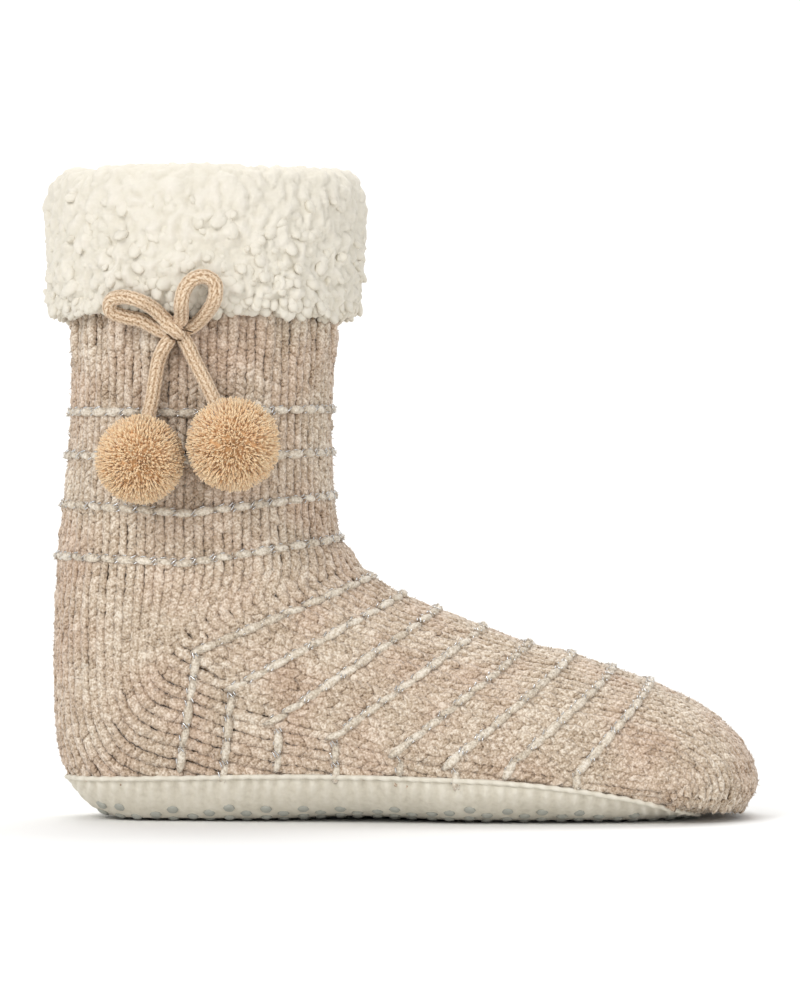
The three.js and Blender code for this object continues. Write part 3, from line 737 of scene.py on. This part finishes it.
# %% Rows along a column
def row_courses(line):
    """The course of each row of stitches along a column, and which of them are raised ridges."""
    run = run_along(line)
    at = lambda course: np.interp(course, FINE_COURSES, run)
    stops = [0.0] + [at(ridge) for ridge in range(1, 5)]
    rows = []
    for low, high in zip(stops, stops[1:]):
        count = ROWS_A_RIDGE if low > 0 else int(round((high - low) / ROW))
        rows += [(high - (high - low) * k / count, k == 0) for k in range(count)]
    fall = np.gradient(line[:, 2], run)
    upright = fall[np.searchsorted(FINE_COURSES, 4.3)] < STEEPEST_TURN
    turning = (FINE_COURSES > 4.05) & (fall > STEEPEST_TURN)
    turned_at = run[np.argmax(turning)] if upright else (at(4) + at(5)) / 2
    above = max(int((turned_at - at(4)) / ROW), 1)
    rows += [(at(4) + (turned_at - at(4)) * k / above, False) for k in range(1, above + 1)]
    below = max(int((at(5) - turned_at) / ROW), 1)
    rows += [(at(5) - (at(5) - turned_at) * k / below, k == 0) for k in range(below)]
    for ridge in range(5, 12):
        low, high = at(ridge), at(ridge + 1)
        steps = range(1, ROWS_A_RIDGE + 1)
        rows += [(low + (high - low) * k / ROWS_A_RIDGE, k == ROWS_A_RIDGE) for k in steps]
    low, high = at(12), run[-1]
    count = int((high - low) / ROW)
    rows += [(low + (high - low) * k / count, False) for k in range(1, count + 1)]
    places, ridge = np.array(sorted(rows)).T
    return np.interp(places, run, FINE_COURSES), ridge > 0


# %% The sole's upper edge, which hides the stitches below it
SOLE_EDGE = {
    "along": np.array([-0.05, 0.12, 0.36, 0.6, 0.7, 0.78, 0.85, 0.9, SOLE_END]),
    "rise": np.array([0.95, 1.0, 1.08, 1.0, 0.86, 0.66, 0.42, 0.2, 0.02]),
}


def sole_edge(x):
    """The height of the sole's upper edge at a place along the foot."""
    return SOLE_RISE * smooth(SOLE_EDGE, "along", np.asarray(x, float) / FOOT_LENGTH, "rise")


# %% Every leg of every stitch
def along_column(line, courses):
    """The points of a column at its courses."""
    return read_off(line, FINE_COURSES, courses)


UNDER_TOE, UNDER_TOE_WIDTH = 208, 3.2
legs = {key: [] for key in ("place", "side", "down", "out", "width", "row", "partner", "wale")}
purls = {key: [] for key in legs}
for half, angles in enumerate(LEG_ANGLES):
    for leg in range(WALES):
        angle = angles[:, leg]
        line = on_form(FINE_COURSES, angle)
        mate = leg + 1 if leg % 2 == 0 else leg - 1
        to_mate = on_form(FINE_COURSES, angles[:, mate]) - line
        courses, raised = row_courses(line)
        place = along_column(line, courses)
        turn = np.interp(courses, FINE_COURSES, angle)
        out = form_frame(courses, turn)[1]
        down = along_column(line, courses + 0.04) - along_column(line, courses - 0.04)
        down = unit(down - out * np.sum(down * out, 1, keepdims=True))
        side = np.cross(down, out)
        to_mate = along_column(to_mate, courses)
        row = np.linalg.norm(np.diff(place, axis=0, append=2 * place[-1:] - place[-2:-1]), axis=1)
        shown = (place[:, 2] > sole_edge(place[:, 0]) - 1.5) | (place[:, 0] > FOOT_LENGTH * 0.9)
        shown &= place[:, 2] < HEM_HEIGHT + 8
        wale = np.full(len(place), half * WALES + leg // 2)
        facts = (place, side, down, out, np.linalg.norm(to_mate, axis=1), row)
        facts += (np.sign(np.sum(to_mate * side, 1)), wale)
        ridge = on_form(courses, turn + 0.01) - on_form(courses, turn - 0.01)
        ridge = unit(ridge * np.sign(np.sum(ridge * side, 1, keepdims=True)))
        pitch = facts[4] / np.maximum(np.sum(ridge * side, 1), 0.5)
        across = (place, ridge, np.cross(out, ridge), out, pitch, *facts[5:])
        clear = place[:, 2] > sole_edge(place[:, 0]) + 1.5
        bumps_here = shown & clear & raised & (leg % 2 == 0)
        for kept, pick, told in ((legs, shown, facts), (purls, bumps_here, across)):
            for key, values in zip(kept, told):
                kept[key].append(values[pick])
        rim, far = on_form(FINE_COURSES[-1], angle[-1]), on_form(FINE_COURSES[-1], -angle[-1])
        count = int(np.linalg.norm(far - rim) / ROW + 0.9) if math.sin(angle[-1]) > 0 else 0
        place = rim + (far - rim) * ((np.arange(count) + 0.5) / max(count, 1))[:, None]
        place = place[place[:, 0] > UNDER_TOE]
        down = np.tile(unit(far - rim), (len(place), 1))
        out = unit(np.cross(down, (0, 1, 0)))
        out *= -np.sign(out[:, 2:])
        rest = [np.full(len(place), fact) for fact in (UNDER_TOE_WIDTH, ROW, facts[6][-1], wale[0])]
        facts = (place, np.cross(down, out), down, out, *rest)
        for key, values in zip(legs, facts):
            legs[key].append(values)
legs = {key: np.concatenate(values) for key, values in legs.items()}
purls = {key: np.concatenate(values) for key, values in purls.items()}
print("legs of stitches:", len(legs["place"]), "and purl bumps:", len(purls["place"]))


# %% Axes that lean towards a partner and stand out at the lower end
def leaning(points, lean, rise):
    """The three axes of each stitch, in radians of lean in the cloth and of rise out of it."""
    lean = (lean * points["partner"])[:, None]
    down = np.cos(lean) * points["down"] + np.sin(lean) * points["side"]
    side = np.cos(lean) * points["side"] - np.sin(lean) * points["down"]
    lower = math.cos(rise) * down + math.sin(rise) * points["out"]
    return side, lower, math.cos(rise) * points["out"] - math.sin(rise) * down


# %% [markdown]
# Under the cuff the sock starts with a band of ribbing, where every second column stands forward and
# the ones between lie back, painted darker as shade. Lower down all columns lie level.

# %% Sow the stitches, in three pieces so that none is too heavy
RIB_FOOT, RIB_RELIEF = 161.5, 1.1
STITCH_SUNK, STITCH_THICK, LEG_WIDTHS = -0.95, 1.55, (1.6, 4.2)
rng = np.random.default_rng(7)
in_rib = np.clip((legs["place"][:, 2] - RIB_FOOT + 3) / 6, 0, 1)
forward = np.where(legs["wale"] % 2 == 0, 1.0, -0.3) * in_rib
offset = STITCH_SUNK + RIB_RELIEF * forward + 0.1 * rng.standard_normal(len(legs["row"]))
offset -= 0.5 * (legs["place"][:, 2] < sole_edge(legs["place"][:, 0]) + 0.5)
# Painted shade: the ribbing's columns that lie back are darker; the rest of the tone is random, per stitch
# and in patches.
stitch_tone_and_shade = 0.06 * rng.standard_normal(len(offset)) + 0.12 * lumps(legs["place"], 9, 3) + 0.1 * forward
stitch_width = (0.55 + 0.06 * in_rib) * np.clip(legs["width"], *LEG_WIDTHS)
stitch_sizes = np.stack([stitch_width, 1.12 * legs["row"], np.full(len(offset), STITCH_THICK)], 1)
stitch_places = legs["place"] + legs["out"] * offset[:, None]
stitch_ways = leaning(legs, 0.42, 0.24)
leg_bead = bead("stitch_leg", 7, 4, 0.2)
order = np.argsort(legs["place"][:, 2] - 0.6 * legs["place"][:, 0])
for name, part in zip(("knit_toe", "knit_foot", "knit_leg"), np.array_split(order, 3)):
    ways = [way[part] for way in stitch_ways]
    facts = stitch_places[part], ways, stitch_sizes[part], stitch_tone_and_shade[part]
    knit = sow(name, leg_bead, chenille, *facts, 0.16, 0.14)
    wear(knit, "knit", chenille, "upper")

# %% Fuzz: the ends of the chenille's own pile, which soften its outline
hair_points = [(-1, 0, -0.6), (1, 0, -0.6), (0, 0, 1), (0, 1, 0)]
hair_sides = [[0, 1, 2], [1, 0, 3], [2, 1, 3], [0, 2, 3]]
# Painted shade: each hair is darker at its root and lighter at its tip.
hair = small_shape("hair", hair_points, hair_sides, [0.6, 0.6, 0.7, 0.95])


def fuzz_over(name, count, points, places, sizes, tones, finish):
    """Short hairs that stand out of stitches at all angles."""
    pick = rng.integers(0, len(places), count)
    side, down, out = [points[key][pick] for key in ("side", "down", "out")]
    across, along, sway, swerve = rng.uniform(-0.85, 0.85, (4, count, 1))
    way = unit(0.6 * out + sway * side + swerve * down)
    hair_side = unit(np.cross(way, down + 0.4 * side))
    root = places[pick] + across * sizes[pick, :1] * side + along * sizes[pick, 1:2] * down
    root += sizes[pick, 2:] * np.sqrt(1 - 0.5 * across**2 - 0.5 * along**2) * out - 0.35 * way
    ways = (hair_side, way, np.cross(hair_side, way))
    fuzz = sow(name, hair, finish, root, ways, np.tile((0.16, 1.5, 0.16), (count, 1)), tones[pick], 0.4)
    wear(fuzz, "knit", finish, "upper")


fuzz_over("knit_fuzz", 11000, legs, stitch_places, stitch_sizes, stitch_tone_and_shade, chenille)

# %% [markdown]
# ## Raised courses and lurex
# Each raised course is a row of purl bumps: the yarn passes in front, so an oval of paler yarn lies
# across every column. A thread of lurex is carried along, and shows as short bright slivers where one
# bump ends and the next begins.

# %% Purl bumps
purl_count = len(purls["place"])
to_middle = purls["side"] * (purls["partner"] * purls["width"] / 2)[:, None]
purl_depths = np.tile((1.45, 1.2), (purl_count, 1))
purl_sizes = np.column_stack([purls["width"] * 1.08, purl_depths])
purl_bead = bead("purl_bump", 8, 6)
purl_places = purls["place"] + to_middle + purls["out"] * 0.4
level = {**purls, "partner": np.ones(purl_count)}
purl_tone = 0.08 * rng.standard_normal(purl_count)
facts = purl_places, leaning(level, 0.08, 0), purl_sizes, purl_tone
bumps = sow("purl_bumps", purl_bead, chenille_purl, *facts, 0.16, 0.16)
wear(bumps, "knit", chenille_purl, "upper")
fuzz_over("purl_fuzz", 3000, purls, purl_places, purl_sizes, purl_tone, chenille_purl)

# %% Lurex slivers
sliver = bead("lurex_sliver", 4, 3)
SLIVERS = [(-1.0, -0.3, 0.9, 1.5), (-0.85, -1.2, 1.3, 1.2), (-1.15, 0.9, 1.25, 0.9), (0.1, -1.5, 1.5, 1.1)]
sliver_sets = []
for along, across, turn, length in SLIVERS:
    shift = purls["side"] * (purls["partner"] * purls["width"] * (0.5 + along))[:, None]
    places = purls["place"] + shift + purls["down"] * across + purls["out"] * 1.25
    ways = leaning(level, turn, 0)
    sizes = np.tile((0.26, length, 0.2), (purl_count, 1))
    chosen = rng.random(purl_count) < 0.8
    sliver_sets.append((places[chosen], [way[chosen] for way in ways], sizes[chosen]))
places = np.concatenate([s[0] for s in sliver_sets])
ways = [np.concatenate([s[1][k] for s in sliver_sets]) for k in range(3)]
sizes = np.concatenate([s[2] for s in sliver_sets])
glints = sow("lurex_glints", sliver, lurex, places, ways, sizes, np.zeros(len(places)), 0.3, 0.35)
wear(glints, "knit", lurex, "upper")

# %% [markdown]
# ## The cloth behind the stitches
# Behind the beads of yarn lies the ground of the knit, and inside it the pile that lines the sock.
# Both are thin closed shells that follow the form from the collar to the toe. The ground's colour is
# painted darker than the stitches, as shade.


# %% A thin shell of the whole sock
def sock_shell(name, outer, inner, rows, columns, shade):
    """A closed shell between two offsets, open at the collar. An offset may be an array of the grid."""
    marks = [FIRST_COURSE, 4, 5.2, 12, LAST_COURSE]
    courses = np.interp(np.linspace(0, 1, rows), [0, 0.27, 0.5, 0.8, 1], marks)
    angles = np.linspace(0, 2 * math.pi, columns, endpoint=False)
    grids = [off_form(courses[:, None], angles[None, :], offset) for offset in (outer, inner)]
    size = rows * columns
    faces = grid_faces(rows, columns)
    faces += [[i + size for i in face] for face in faces]
    faces += [[k, (k + 1) % columns, size + (k + 1) % columns, size + k] for k in range(columns)]
    for last in (size - columns, 2 * size - columns):
        for k in range(columns // 2):
            quad = [k, k + 1, (columns - k - 1) % columns, (columns - k) % columns]
            faces.append([last + corner for corner in dict.fromkeys(quad)])
    return mesh_object(name, np.concatenate(grids).reshape(-1, 3), faces, np.full(2 * size, shade))


GROUND_OUTER, GROUND_INNER, LINING_OUTER, LINING_INNER = -1.4, -2.0, -2.1, -5.0
# Painted shade: the ground takes the darker finish because it lies in shade behind the stitches.
ground = sock_shell("knit_ground", GROUND_OUTER, GROUND_INNER, 100, 80, 0.4)
wear(ground, "knit", chenille_ground, "upper")
lining_rows, lining_columns = 90, 72
lining_courses = np.linspace(FIRST_COURSE, LAST_COURSE, lining_rows)[:, None]
flat_lining = off_form(lining_courses, np.linspace(0, 6.28, lining_columns)[None, :], 0.0)
lining_inner = LINING_INNER + lumps(flat_lining, 5, 11) * 1.3
lining = sock_shell("pile_lining", LINING_OUTER, lining_inner, lining_rows, lining_columns, 0.4)
wear(lining, "pile", pile, "upper")

# %% [markdown]
# ## The padded sole
# The sole is a soft cloth shell, sewn round the foot's lower edge. It rises about 15 mm up the side at
# the heel and runs out under the toe. Rays cast from its edge line down to the form give slices of
# the foot across the sole, and the slices make the cloth. Each stitch of the seam draws the cloth in,
# which leaves short gathers about 5 mm apart that fade out below.

# %% Slices of the foot under the sole's edge
RINGS, RING = 260, 240
sole_courses = np.linspace(3.7, LAST_COURSE, RINGS)[:, None]
sole_angles = np.linspace(0, 2 * math.pi, RING, endpoint=False)[None, :]
form_points = off_form(sole_courses, sole_angles, SOLE_PROUD).reshape(-1, 3)
form_faces = grid_faces(RINGS, RING)
for k in range(1, RING // 2 - 1):
    form_faces.append([(RINGS - 1) * RING + corner for corner in (k, k + 1, RING - 1 - k, RING - k)])
foot_tree = BVHTree.FromPolygons(form_points.tolist(), form_faces)


def hit(start, way):
    """Where a ray meets the foot, or None."""
    return foot_tree.ray_cast(Vector(start), Vector(way))[0]


heel_x = hit((60, 0, sole_edge(0)), (-1, 0, 0))[0] + 0.15
toe_x = next(x for x in np.arange(205, 240, 0.25) if hit((x, 0, -60), (0, 0, 1))[2] > sole_edge(x) - 0.3)
print("the sole runs from", round(heel_x, 1), "to", round(toe_x, 1), "mm")


def sole_slice(x, count):
    """A line across the sole at a place along the foot, evenly spaced, from outer to inner edge."""
    points = []
    for turn in np.linspace(0, math.pi, 120):
        found = hit((x, 0, float(sole_edge(x))), (0, -math.cos(turn), -math.sin(turn)))
        if found is not None:
            points.append(found)
    line = np.array(points)
    run = run_along(line)
    share = (1 - np.cos(np.linspace(0, math.pi, count))) / 2
    share = 0.6 * share + 0.4 * np.linspace(0, 1, count)
    return read_off(line, run, share * run[-1])


# %% The gathered cloth
SOLE_ALONG, SOLE_ACROSS, GATHER, CLOTH = 260, 44, 5.0, 0.9
rough_x = heel_x + (toe_x - heel_x) * (1 - np.cos(np.linspace(0, math.pi, 90))) / 2
rough_edge = np.array([sole_slice(x, 3)[0] for x in rough_x])
edge_run = run_along(rough_edge)
stations = np.interp(np.linspace(0, edge_run[-1], SOLE_ALONG), edge_run, rough_x)
slices = np.array([sole_slice(x, SOLE_ACROSS) for x in stations])
across_way, along_way = np.gradient(slices, axis=1), np.gradient(slices, axis=0)
sole_out = unit(np.cross(across_way, along_way))
sole_out *= np.sign(-sole_out[len(stations) // 2, SOLE_ACROSS // 2, 2])
steps = np.linalg.norm(np.diff(slices, axis=1), axis=2)
from_edge = np.concatenate([np.zeros((len(stations), 1)), np.cumsum(steps, axis=1)], axis=1)
from_edge = np.minimum(from_edge, from_edge[:, -1:] - from_edge)
seam_run = np.interp(stations, rough_x, edge_run)[:, None]
wander = 1.6 * lumps(slices, 14, 5)
gather_wave = (0.5 + 0.5 * np.cos(2 * math.pi * (seam_run + wander) / GATHER)) ** 1.5
soft = lumps(slices, 9, 8)
relief = np.exp(-from_edge / 7) * np.minimum(0.3 + from_edge / 4, 1) * (1.7 * gather_wave - 0.4) + 0.35 * soft
on_floor = np.clip(1 - slices[..., 2] / 4, 0, 1)
cloth = slices + sole_out * (relief * (1 - on_floor))[..., None]
cloth[..., 2] = np.maximum(cloth[..., 2], 0.8 + 0.12 * (1 + soft) * on_floor)
print("gathers along one side:", round(edge_run[-1] / GATHER))

# %% The sole as a closed shell
sole_rows = len(stations)
sole_size = sole_rows * SOLE_ACROSS
sole_faces = grid_faces(sole_rows, SOLE_ACROSS, wrap_columns=False)
sole_faces += [[i + sole_size for i in face] for face in sole_faces]
rim = [r * SOLE_ACROSS for r in range(sole_rows)]
rim += [(sole_rows - 1) * SOLE_ACROSS + c for c in range(1, SOLE_ACROSS)]
rim += [r * SOLE_ACROSS + SOLE_ACROSS - 1 for r in range(sole_rows - 2, -1, -1)]
rim += list(range(SOLE_ACROSS - 2, 0, -1))
sole_faces += [[a, b, b + sole_size, a + sole_size] for a, b in zip(rim, rim[1:] + rim[:1])]
inside_cloth = slices - sole_out * CLOTH
inside_cloth[..., 2] = np.maximum(inside_cloth[..., 2], 1.4)
# Painted shade: the cloth is darker in the valleys of its gathers and lighter on their crowns.
sole_shade = np.clip(0.55 + 0.35 * relief, 0, 1)
sole_points = np.concatenate([cloth.reshape(-1, 3), inside_cloth.reshape(-1, 3)])
sole = mesh_object("sole_cloth", sole_points, sole_faces, np.tile(sole_shade.ravel(), 2))
wear(sole, "sole_fabric", sole_cloth, "sole")

# %% [markdown]
# The cloth's cut edge is turned in, which makes a soft roll round the whole sole. It is a tube along
# the shell's edge, nipped in where each stitch of the seam holds it.

# %% The rolled edge
edge_loop = np.concatenate([cloth[:, 0], cloth[-1, 1:-1], cloth[::-1, -1]])
edge_out = np.concatenate([sole_out[:, 0], sole_out[-1, 1:-1], sole_out[::-1, -1]])
edge_line = spaced(edge_loop + edge_out * 0.3 + (0, 0, 0.4), 0.9)


def rolled(turn, run, length):
    """The roll's radius, nipped in at every stitch of the seam, and its shade, painted darker at each nip."""
    nip = np.abs(np.cos(math.pi * run / GATHER)) ** 2
    return 0.8 + 0.16 * (1 - nip) + 0 * turn, 0.55 + 0.25 * (1 - nip) + 0 * turn


roll = mesh_object("sole_rolled_edge", *tube(edge_line, rolled, 10))
wear(roll, "sole_fabric", sole_cloth, "sole")

# %% Grip dots
DOT, DOT_PITCH = 4.2, 7.3
dot_places, dot_out = [], []
for row, x in enumerate(np.arange(heel_x + 6, toe_x - 4, DOT_PITCH * 0.87)):
    station = int(np.argmin(np.abs(stations - x)))
    line, run = cloth[station], np.cumsum(np.concatenate([[0], steps[station]]))
    count = int((run[-1] / 2 - 7) / DOT_PITCH)
    at = run[-1] / 2 + DOT_PITCH * (np.arange(-count, count + 1) + 0.5 * (row % 2))
    place, out = [read_off(values, run, at) for values in (line, sole_out[station])]
    printed = (at > 6) & (at < run[-1] - 6) & (place[:, 2] < 5.5)
    dot_places += place[printed].tolist()
    dot_out += out[printed].tolist()
dot_places, dot_out = np.array(dot_places), unit(np.array(dot_out))
dot_side = unit(np.cross(dot_out, (1.0, 0, 0)))
dot_ways = (np.cross(dot_side, dot_out), dot_side, dot_out)
dot_sizes = np.tile((DOT / 2, DOT / 2, 0.8), (len(dot_places), 1))
dot_bead = bead("grip_dot", 12, 4)
dots = sow("grip_dots", dot_bead, grip_pvc, dot_places, dot_ways, dot_sizes, np.zeros(len(dot_places)), 0.0)
wear(dots, "sole_fabric", grip_pvc, "sole")

# %% [markdown]
# ## The cuff
# The cuff is the sock's lining turned out over the collar: polyester pile that curls into clumps of 5
# to 8 mm. Its body is a soft band with those clumps as real lumps, flat near the fold and fuller
# towards the hem. Small round tufts are half sunk in it, more of them lower down, and others hang at
# its hem, so they break up the outline as real pile does.


# %% Places round the leg
def leg_point(height, angle, offset):
    """A point beside the leg at a height, moved level out from the knit's outer face."""
    course = course_at(height)
    around = on_form(course, angle + 0.01) - on_form(course, angle - 0.01)
    out = unit(np.cross((0, 0, -1), around))
    point = on_form(course, angle) + out * np.asarray(offset)[..., None]
    point[..., 2] = height
    return point


INNER = -KNIT_WALL - LINING
CUFF_PROFILE = [
    (1, HEM_HEIGHT + 3), (3.5, HEM_HEIGHT - 0.6), (7, HEM_HEIGHT + 1.4), (8.6, HEM_HEIGHT + 6),
    (9.2, HEM_HEIGHT + 13), (9.6, HEM_HEIGHT + 21), (9.8, HEM_HEIGHT + 29), (9.6, CUFF_TOP - 13),
    (8.6, CUFF_TOP - 6), (5.6, CUFF_TOP - 2), (1.6, CUFF_TOP - 0.6), (-2.8, CUFF_TOP - 1),
    (INNER * 0.8, CUFF_TOP - 3.4), (INNER * 0.96, CUFF_TOP - 8), (INNER * 0.9, COLLAR_HEIGHT - 12),
    (-3.8, COLLAR_HEIGHT - 13.5), (-3.6, COLLAR_HEIGHT + 0.4), (0.4, COLLAR_HEIGHT + 0.4),
    (0.4, (COLLAR_HEIGHT + HEM_HEIGHT) / 2),
]
looped = np.array(CUFF_PROFILE + CUFF_PROFILE[:1])
profile = through(np.column_stack([looped, np.zeros(len(looped))]), 0.92)[:-1, :2]
print("the cuff's profile has", len(profile), "points")

# %% The cuff's body
CUFF_AROUND = 440
turns = np.linspace(0, 2 * math.pi, CUFF_AROUND, endpoint=False)
heights = np.repeat(profile[:, 1:2], CUFF_AROUND, 1)
bare = leg_point(heights, turns[None, :], np.repeat(profile[:, :1], CUFF_AROUND, 1))
cuff_out = unit(np.cross(np.gradient(bare, axis=1), np.gradient(bare, axis=0)))
quarter = len(profile) // 4
cuff_out *= np.sign(np.sum(cuff_out[quarter] * (bare[quarter] - bare.mean((0, 1))), 1).mean())
shows = np.clip(1 - np.abs(profile[:, 0] + 1) / 4, 0, 1) * (profile[:, 1] < CUFF_TOP - 3)
fuller = np.clip((CUFF_TOP - profile[:, 1:2]) / CUFF_HEIGHT, 0, 1)
wandering = bare + 1.2 * np.stack([lumps(bare, 4, shift) for shift in (21, 22, 23)], -1)
clumps = 1.5 * np.abs(lumps(wandering, 5.0, 2)) ** 0.7 + 0.7 * np.abs(lumps(wandering, 2.4, 6)) ** 0.7
height_of_pile = (1.0 + 1.0 * fuller) * (1.25 * clumps - 0.85) + 1.2 * lumps(bare, 11, 9)
height_of_pile *= 1 - shows[:, None]
cuff_points = bare + cuff_out * height_of_pile[..., None]
# Painted shade: the pile is darker in the creases between clumps and lighter on their crowns.
cuff_shade = np.clip(0.3 + 0.45 * clumps, 0, 1)
cuff_faces = grid_faces(len(profile), CUFF_AROUND, wrap_rows=True)
cuff = mesh_object("cuff_pile", cuff_points.reshape(-1, 3), cuff_faces, cuff_shade.ravel())
wear(cuff, "pile", pile, "cuff")


# %% Tufts over the cuff
TUFTS, HEM_TUFTS = 760, 480
rows_shown = np.flatnonzero((shows < 0.2) & (profile[:, 0] > INNER - 2))
rows_hem = np.flatnonzero((profile[:, 1] < HEM_HEIGHT + 3.5) & (profile[:, 0] > 2))
odds = np.clip((CUFF_TOP - 7 - profile[rows_shown, 1]) / 30, 0, 1)
on_cuff = rng.choice(rows_shown, TUFTS, p=odds / odds.sum())
row_pick = np.concatenate([on_cuff, rng.choice(rows_hem, HEM_TUFTS)])
turn_pick = rng.integers(0, CUFF_AROUND, TUFTS + HEM_TUFTS)
tuft_out = cuff_out[row_pick, turn_pick]
hanging = (np.arange(TUFTS + HEM_TUFTS) >= TUFTS)[:, None]
chance = rng.standard_normal((TUFTS + HEM_TUFTS, 3))
tuft_way = unit(np.cross(np.cross(tuft_out, chance + (0, 0, -0.9)), tuft_out) + 0.45 * tuft_out)
tuft_way = np.where(hanging, unit(0.35 * chance + (0, 0, -1.3) + 0.3 * tuft_out), tuft_way)
tuft_side = unit(np.cross(tuft_way, tuft_out + 0.2 * chance))
tuft_places = cuff_points[row_pick, turn_pick] + tuft_out * np.where(hanging, -1.2, -1.6) + tuft_way * 1.2
wide = rng.uniform(1.5, 2.7, (TUFTS + HEM_TUFTS, 1))
tuft_size = np.hstack([wide, wide * rng.uniform(1.0, 1.5, wide.shape), wide * 0.62])
# Painted shade: tufts in the creases between clumps are darker; the rest of the tone is random.
tuft_tone_and_shade = 0.1 * (clumps[row_pick, turn_pick] - 0.5) + 0.05 * rng.standard_normal(len(row_pick))
tuft = bead("tuft", 8, 5, 0.1)
ways = (tuft_side, tuft_way, np.cross(tuft_side, tuft_way))
tufts = sow("cuff_tufts", tuft, pile, tuft_places, ways, tuft_size, tuft_tone_and_shade, 0.2)
wear(tufts, "pile", pile, "cuff")

# %% [markdown]
# ## The pompoms
# A pompom is a bundle of yarn tied in the middle and cut all round, so thousands of ends point out
# from one centre. Sown strands, painted dark at the root as shade and pale at the tip, give the ball
# its depth. A small core of the same yarn closes the middle; it is painted darker on its underside, as shade.

# %% Strands of cut yarn
STRANDS, STRAND_THICK = 5000, 0.38
stem = np.stack([(0, 0.05, 0), (0, 0.6, 1), (0, 0, 0)], 1)


def strand_shape():
    """A thin tube from a root to a slightly wider cut end, of length 1."""
    around = 3
    turn = np.linspace(0, 2 * math.pi, around, endpoint=False)
    wide = np.array([0.7, 1.0, 0.7])
    ring = np.stack([np.cos(turn), 0 * turn, np.sin(turn)], 1)
    points = (stem[:, None] * (6, 1, 1) + wide[:, None, None] * ring).reshape(-1, 3)
    faces = grid_faces(3, around) + [[0, 1, 2], [6, 7, 8]]
    # Painted shade: the strand is darker at its root and paler at its cut end.
    return small_shape("strand", points, faces, np.repeat([0.3, 0.62, 0.85], around))


strand = strand_shape()
count = np.arange(STRANDS)
rise = 1 - (2 * count + 1) / STRANDS
swing = count * math.pi * (3 - math.sqrt(5))
level_reach = np.sqrt(1 - rise**2)
even = np.stack([level_reach * np.cos(swing), level_reach * np.sin(swing), rise], 1)
for name, tail in (("pompom_back", "bow_tail_back"), ("pompom_front", "bow_tail_front")):
    low, high = [millimetres(corner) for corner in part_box(name)]
    centre, reach = (low + high) / 2, (high - low).min() / 2
    way = unit(even + 0.14 * rng.standard_normal(even.shape))
    side = unit(np.cross(way, rng.standard_normal(even.shape)))
    uneven = 0.05 * rng.standard_normal(STRANDS).clip(-1.5, 1.2)
    length = reach * (0.34 + uneven + 0.03 * lumps(way * reach, 6, 4))
    thick = np.full(STRANDS, STRAND_THICK)
    sizes = np.stack([thick, length, thick], 1)
    tone = 0.16 * lumps(way * reach, 4, 9) + 0.08 * rng.standard_normal(STRANDS)
    ways = (side, way, np.cross(side, way))
    places = centre + way * reach * 0.66
    yarn = sow(name + "_yarn", strand, pompom_yarn, places, ways, sizes, tone, 0.05, 0.26)
    # The core takes the bead's painted shade, darker on its underside.
    core_bead = bead("core", 24, 16)
    still = np.eye(3)[:, None]
    core_size = np.full((1, 3), reach * 0.86)
    core = sow(name + "_core", core_bead, pompom_yarn, centre[None], still, core_size, [0.0], 0.0)
    wear(yarn, "pompom_yarn", pompom_yarn, name)
    wear(core, "pompom_yarn", pompom_yarn, name)

# %% [markdown]
# ## Floor and light
# The picture is a plain product shot: a white sweep that is floor and wall in one, a broad soft light
# from the upper left and front, and white all round, so that shadows stay soft and pale. The wall
# stands well behind the sock, which leaves room to walk the camera round it.

# %% A pale sweep
WALL_STARTS, WALL_TOP, BEND, FLOOR_REACH = 2.3, 3.5, 0.6, 9.0
sweep_line = [(-FLOOR_REACH, 0.0), (WALL_STARTS, 0.0)]
for turn in np.linspace(0.1, math.pi / 2, 16):
    sweep_line.append((WALL_STARTS + BEND * math.sin(turn), BEND * (1 - math.cos(turn))))
sweep_line.append((WALL_STARTS + BEND, WALL_TOP))
sweep_mesh = bpy.data.meshes.new("sweep")
sweep_points = [(x, y, z) for x in (-FLOOR_REACH, FLOOR_REACH) for y, z in sweep_line]
rows = len(sweep_line)
sweep_mesh.from_pydata(sweep_points, [], [[i, i + rows, i + rows + 1, i + 1] for i in range(rows - 1)])
sweep_mesh.shade_smooth()
sweep = in_scene("sweep", sweep_mesh)
sweep_mesh.materials.append(plain_finish("matt_white_paper", "#F7F7F6", 2000, 0.0, Roughness=0.9))


# %% Soft lights
def soft_light(name, place, aim, size, power):
    """A square area light that looks at a point."""
    data = bpy.data.lights.new(name, "AREA")
    data.size, data.energy = size, power
    light = in_scene(name, data)
    light.location = place
    light.rotation_euler = (Vector(aim) - Vector(place)).to_track_quat("-Z", "Y").to_euler()


aim = (middle[0], 0, middle[2])
soft_light("key", (-0.9, -1.5, 1.2), aim, 0.9, 19)
soft_light("fill", (1.3, -1.6, 0.5), aim, 1.2, 8)
soft_light("backdrop", (middle[0], 1.3, 2.7), (middle[0], 2.3, 0.0), 2.2, 60)
world = bpy.data.worlds.new("white_room")
bpy.context.scene.world = world
world.use_nodes = True
world.node_tree.nodes["Background"].inputs["Color"].default_value = linear("#FFFFFF")
world.node_tree.nodes["Background"].inputs["Strength"].default_value = 0.66
bpy.context.scene.view_settings.view_transform = "Standard"
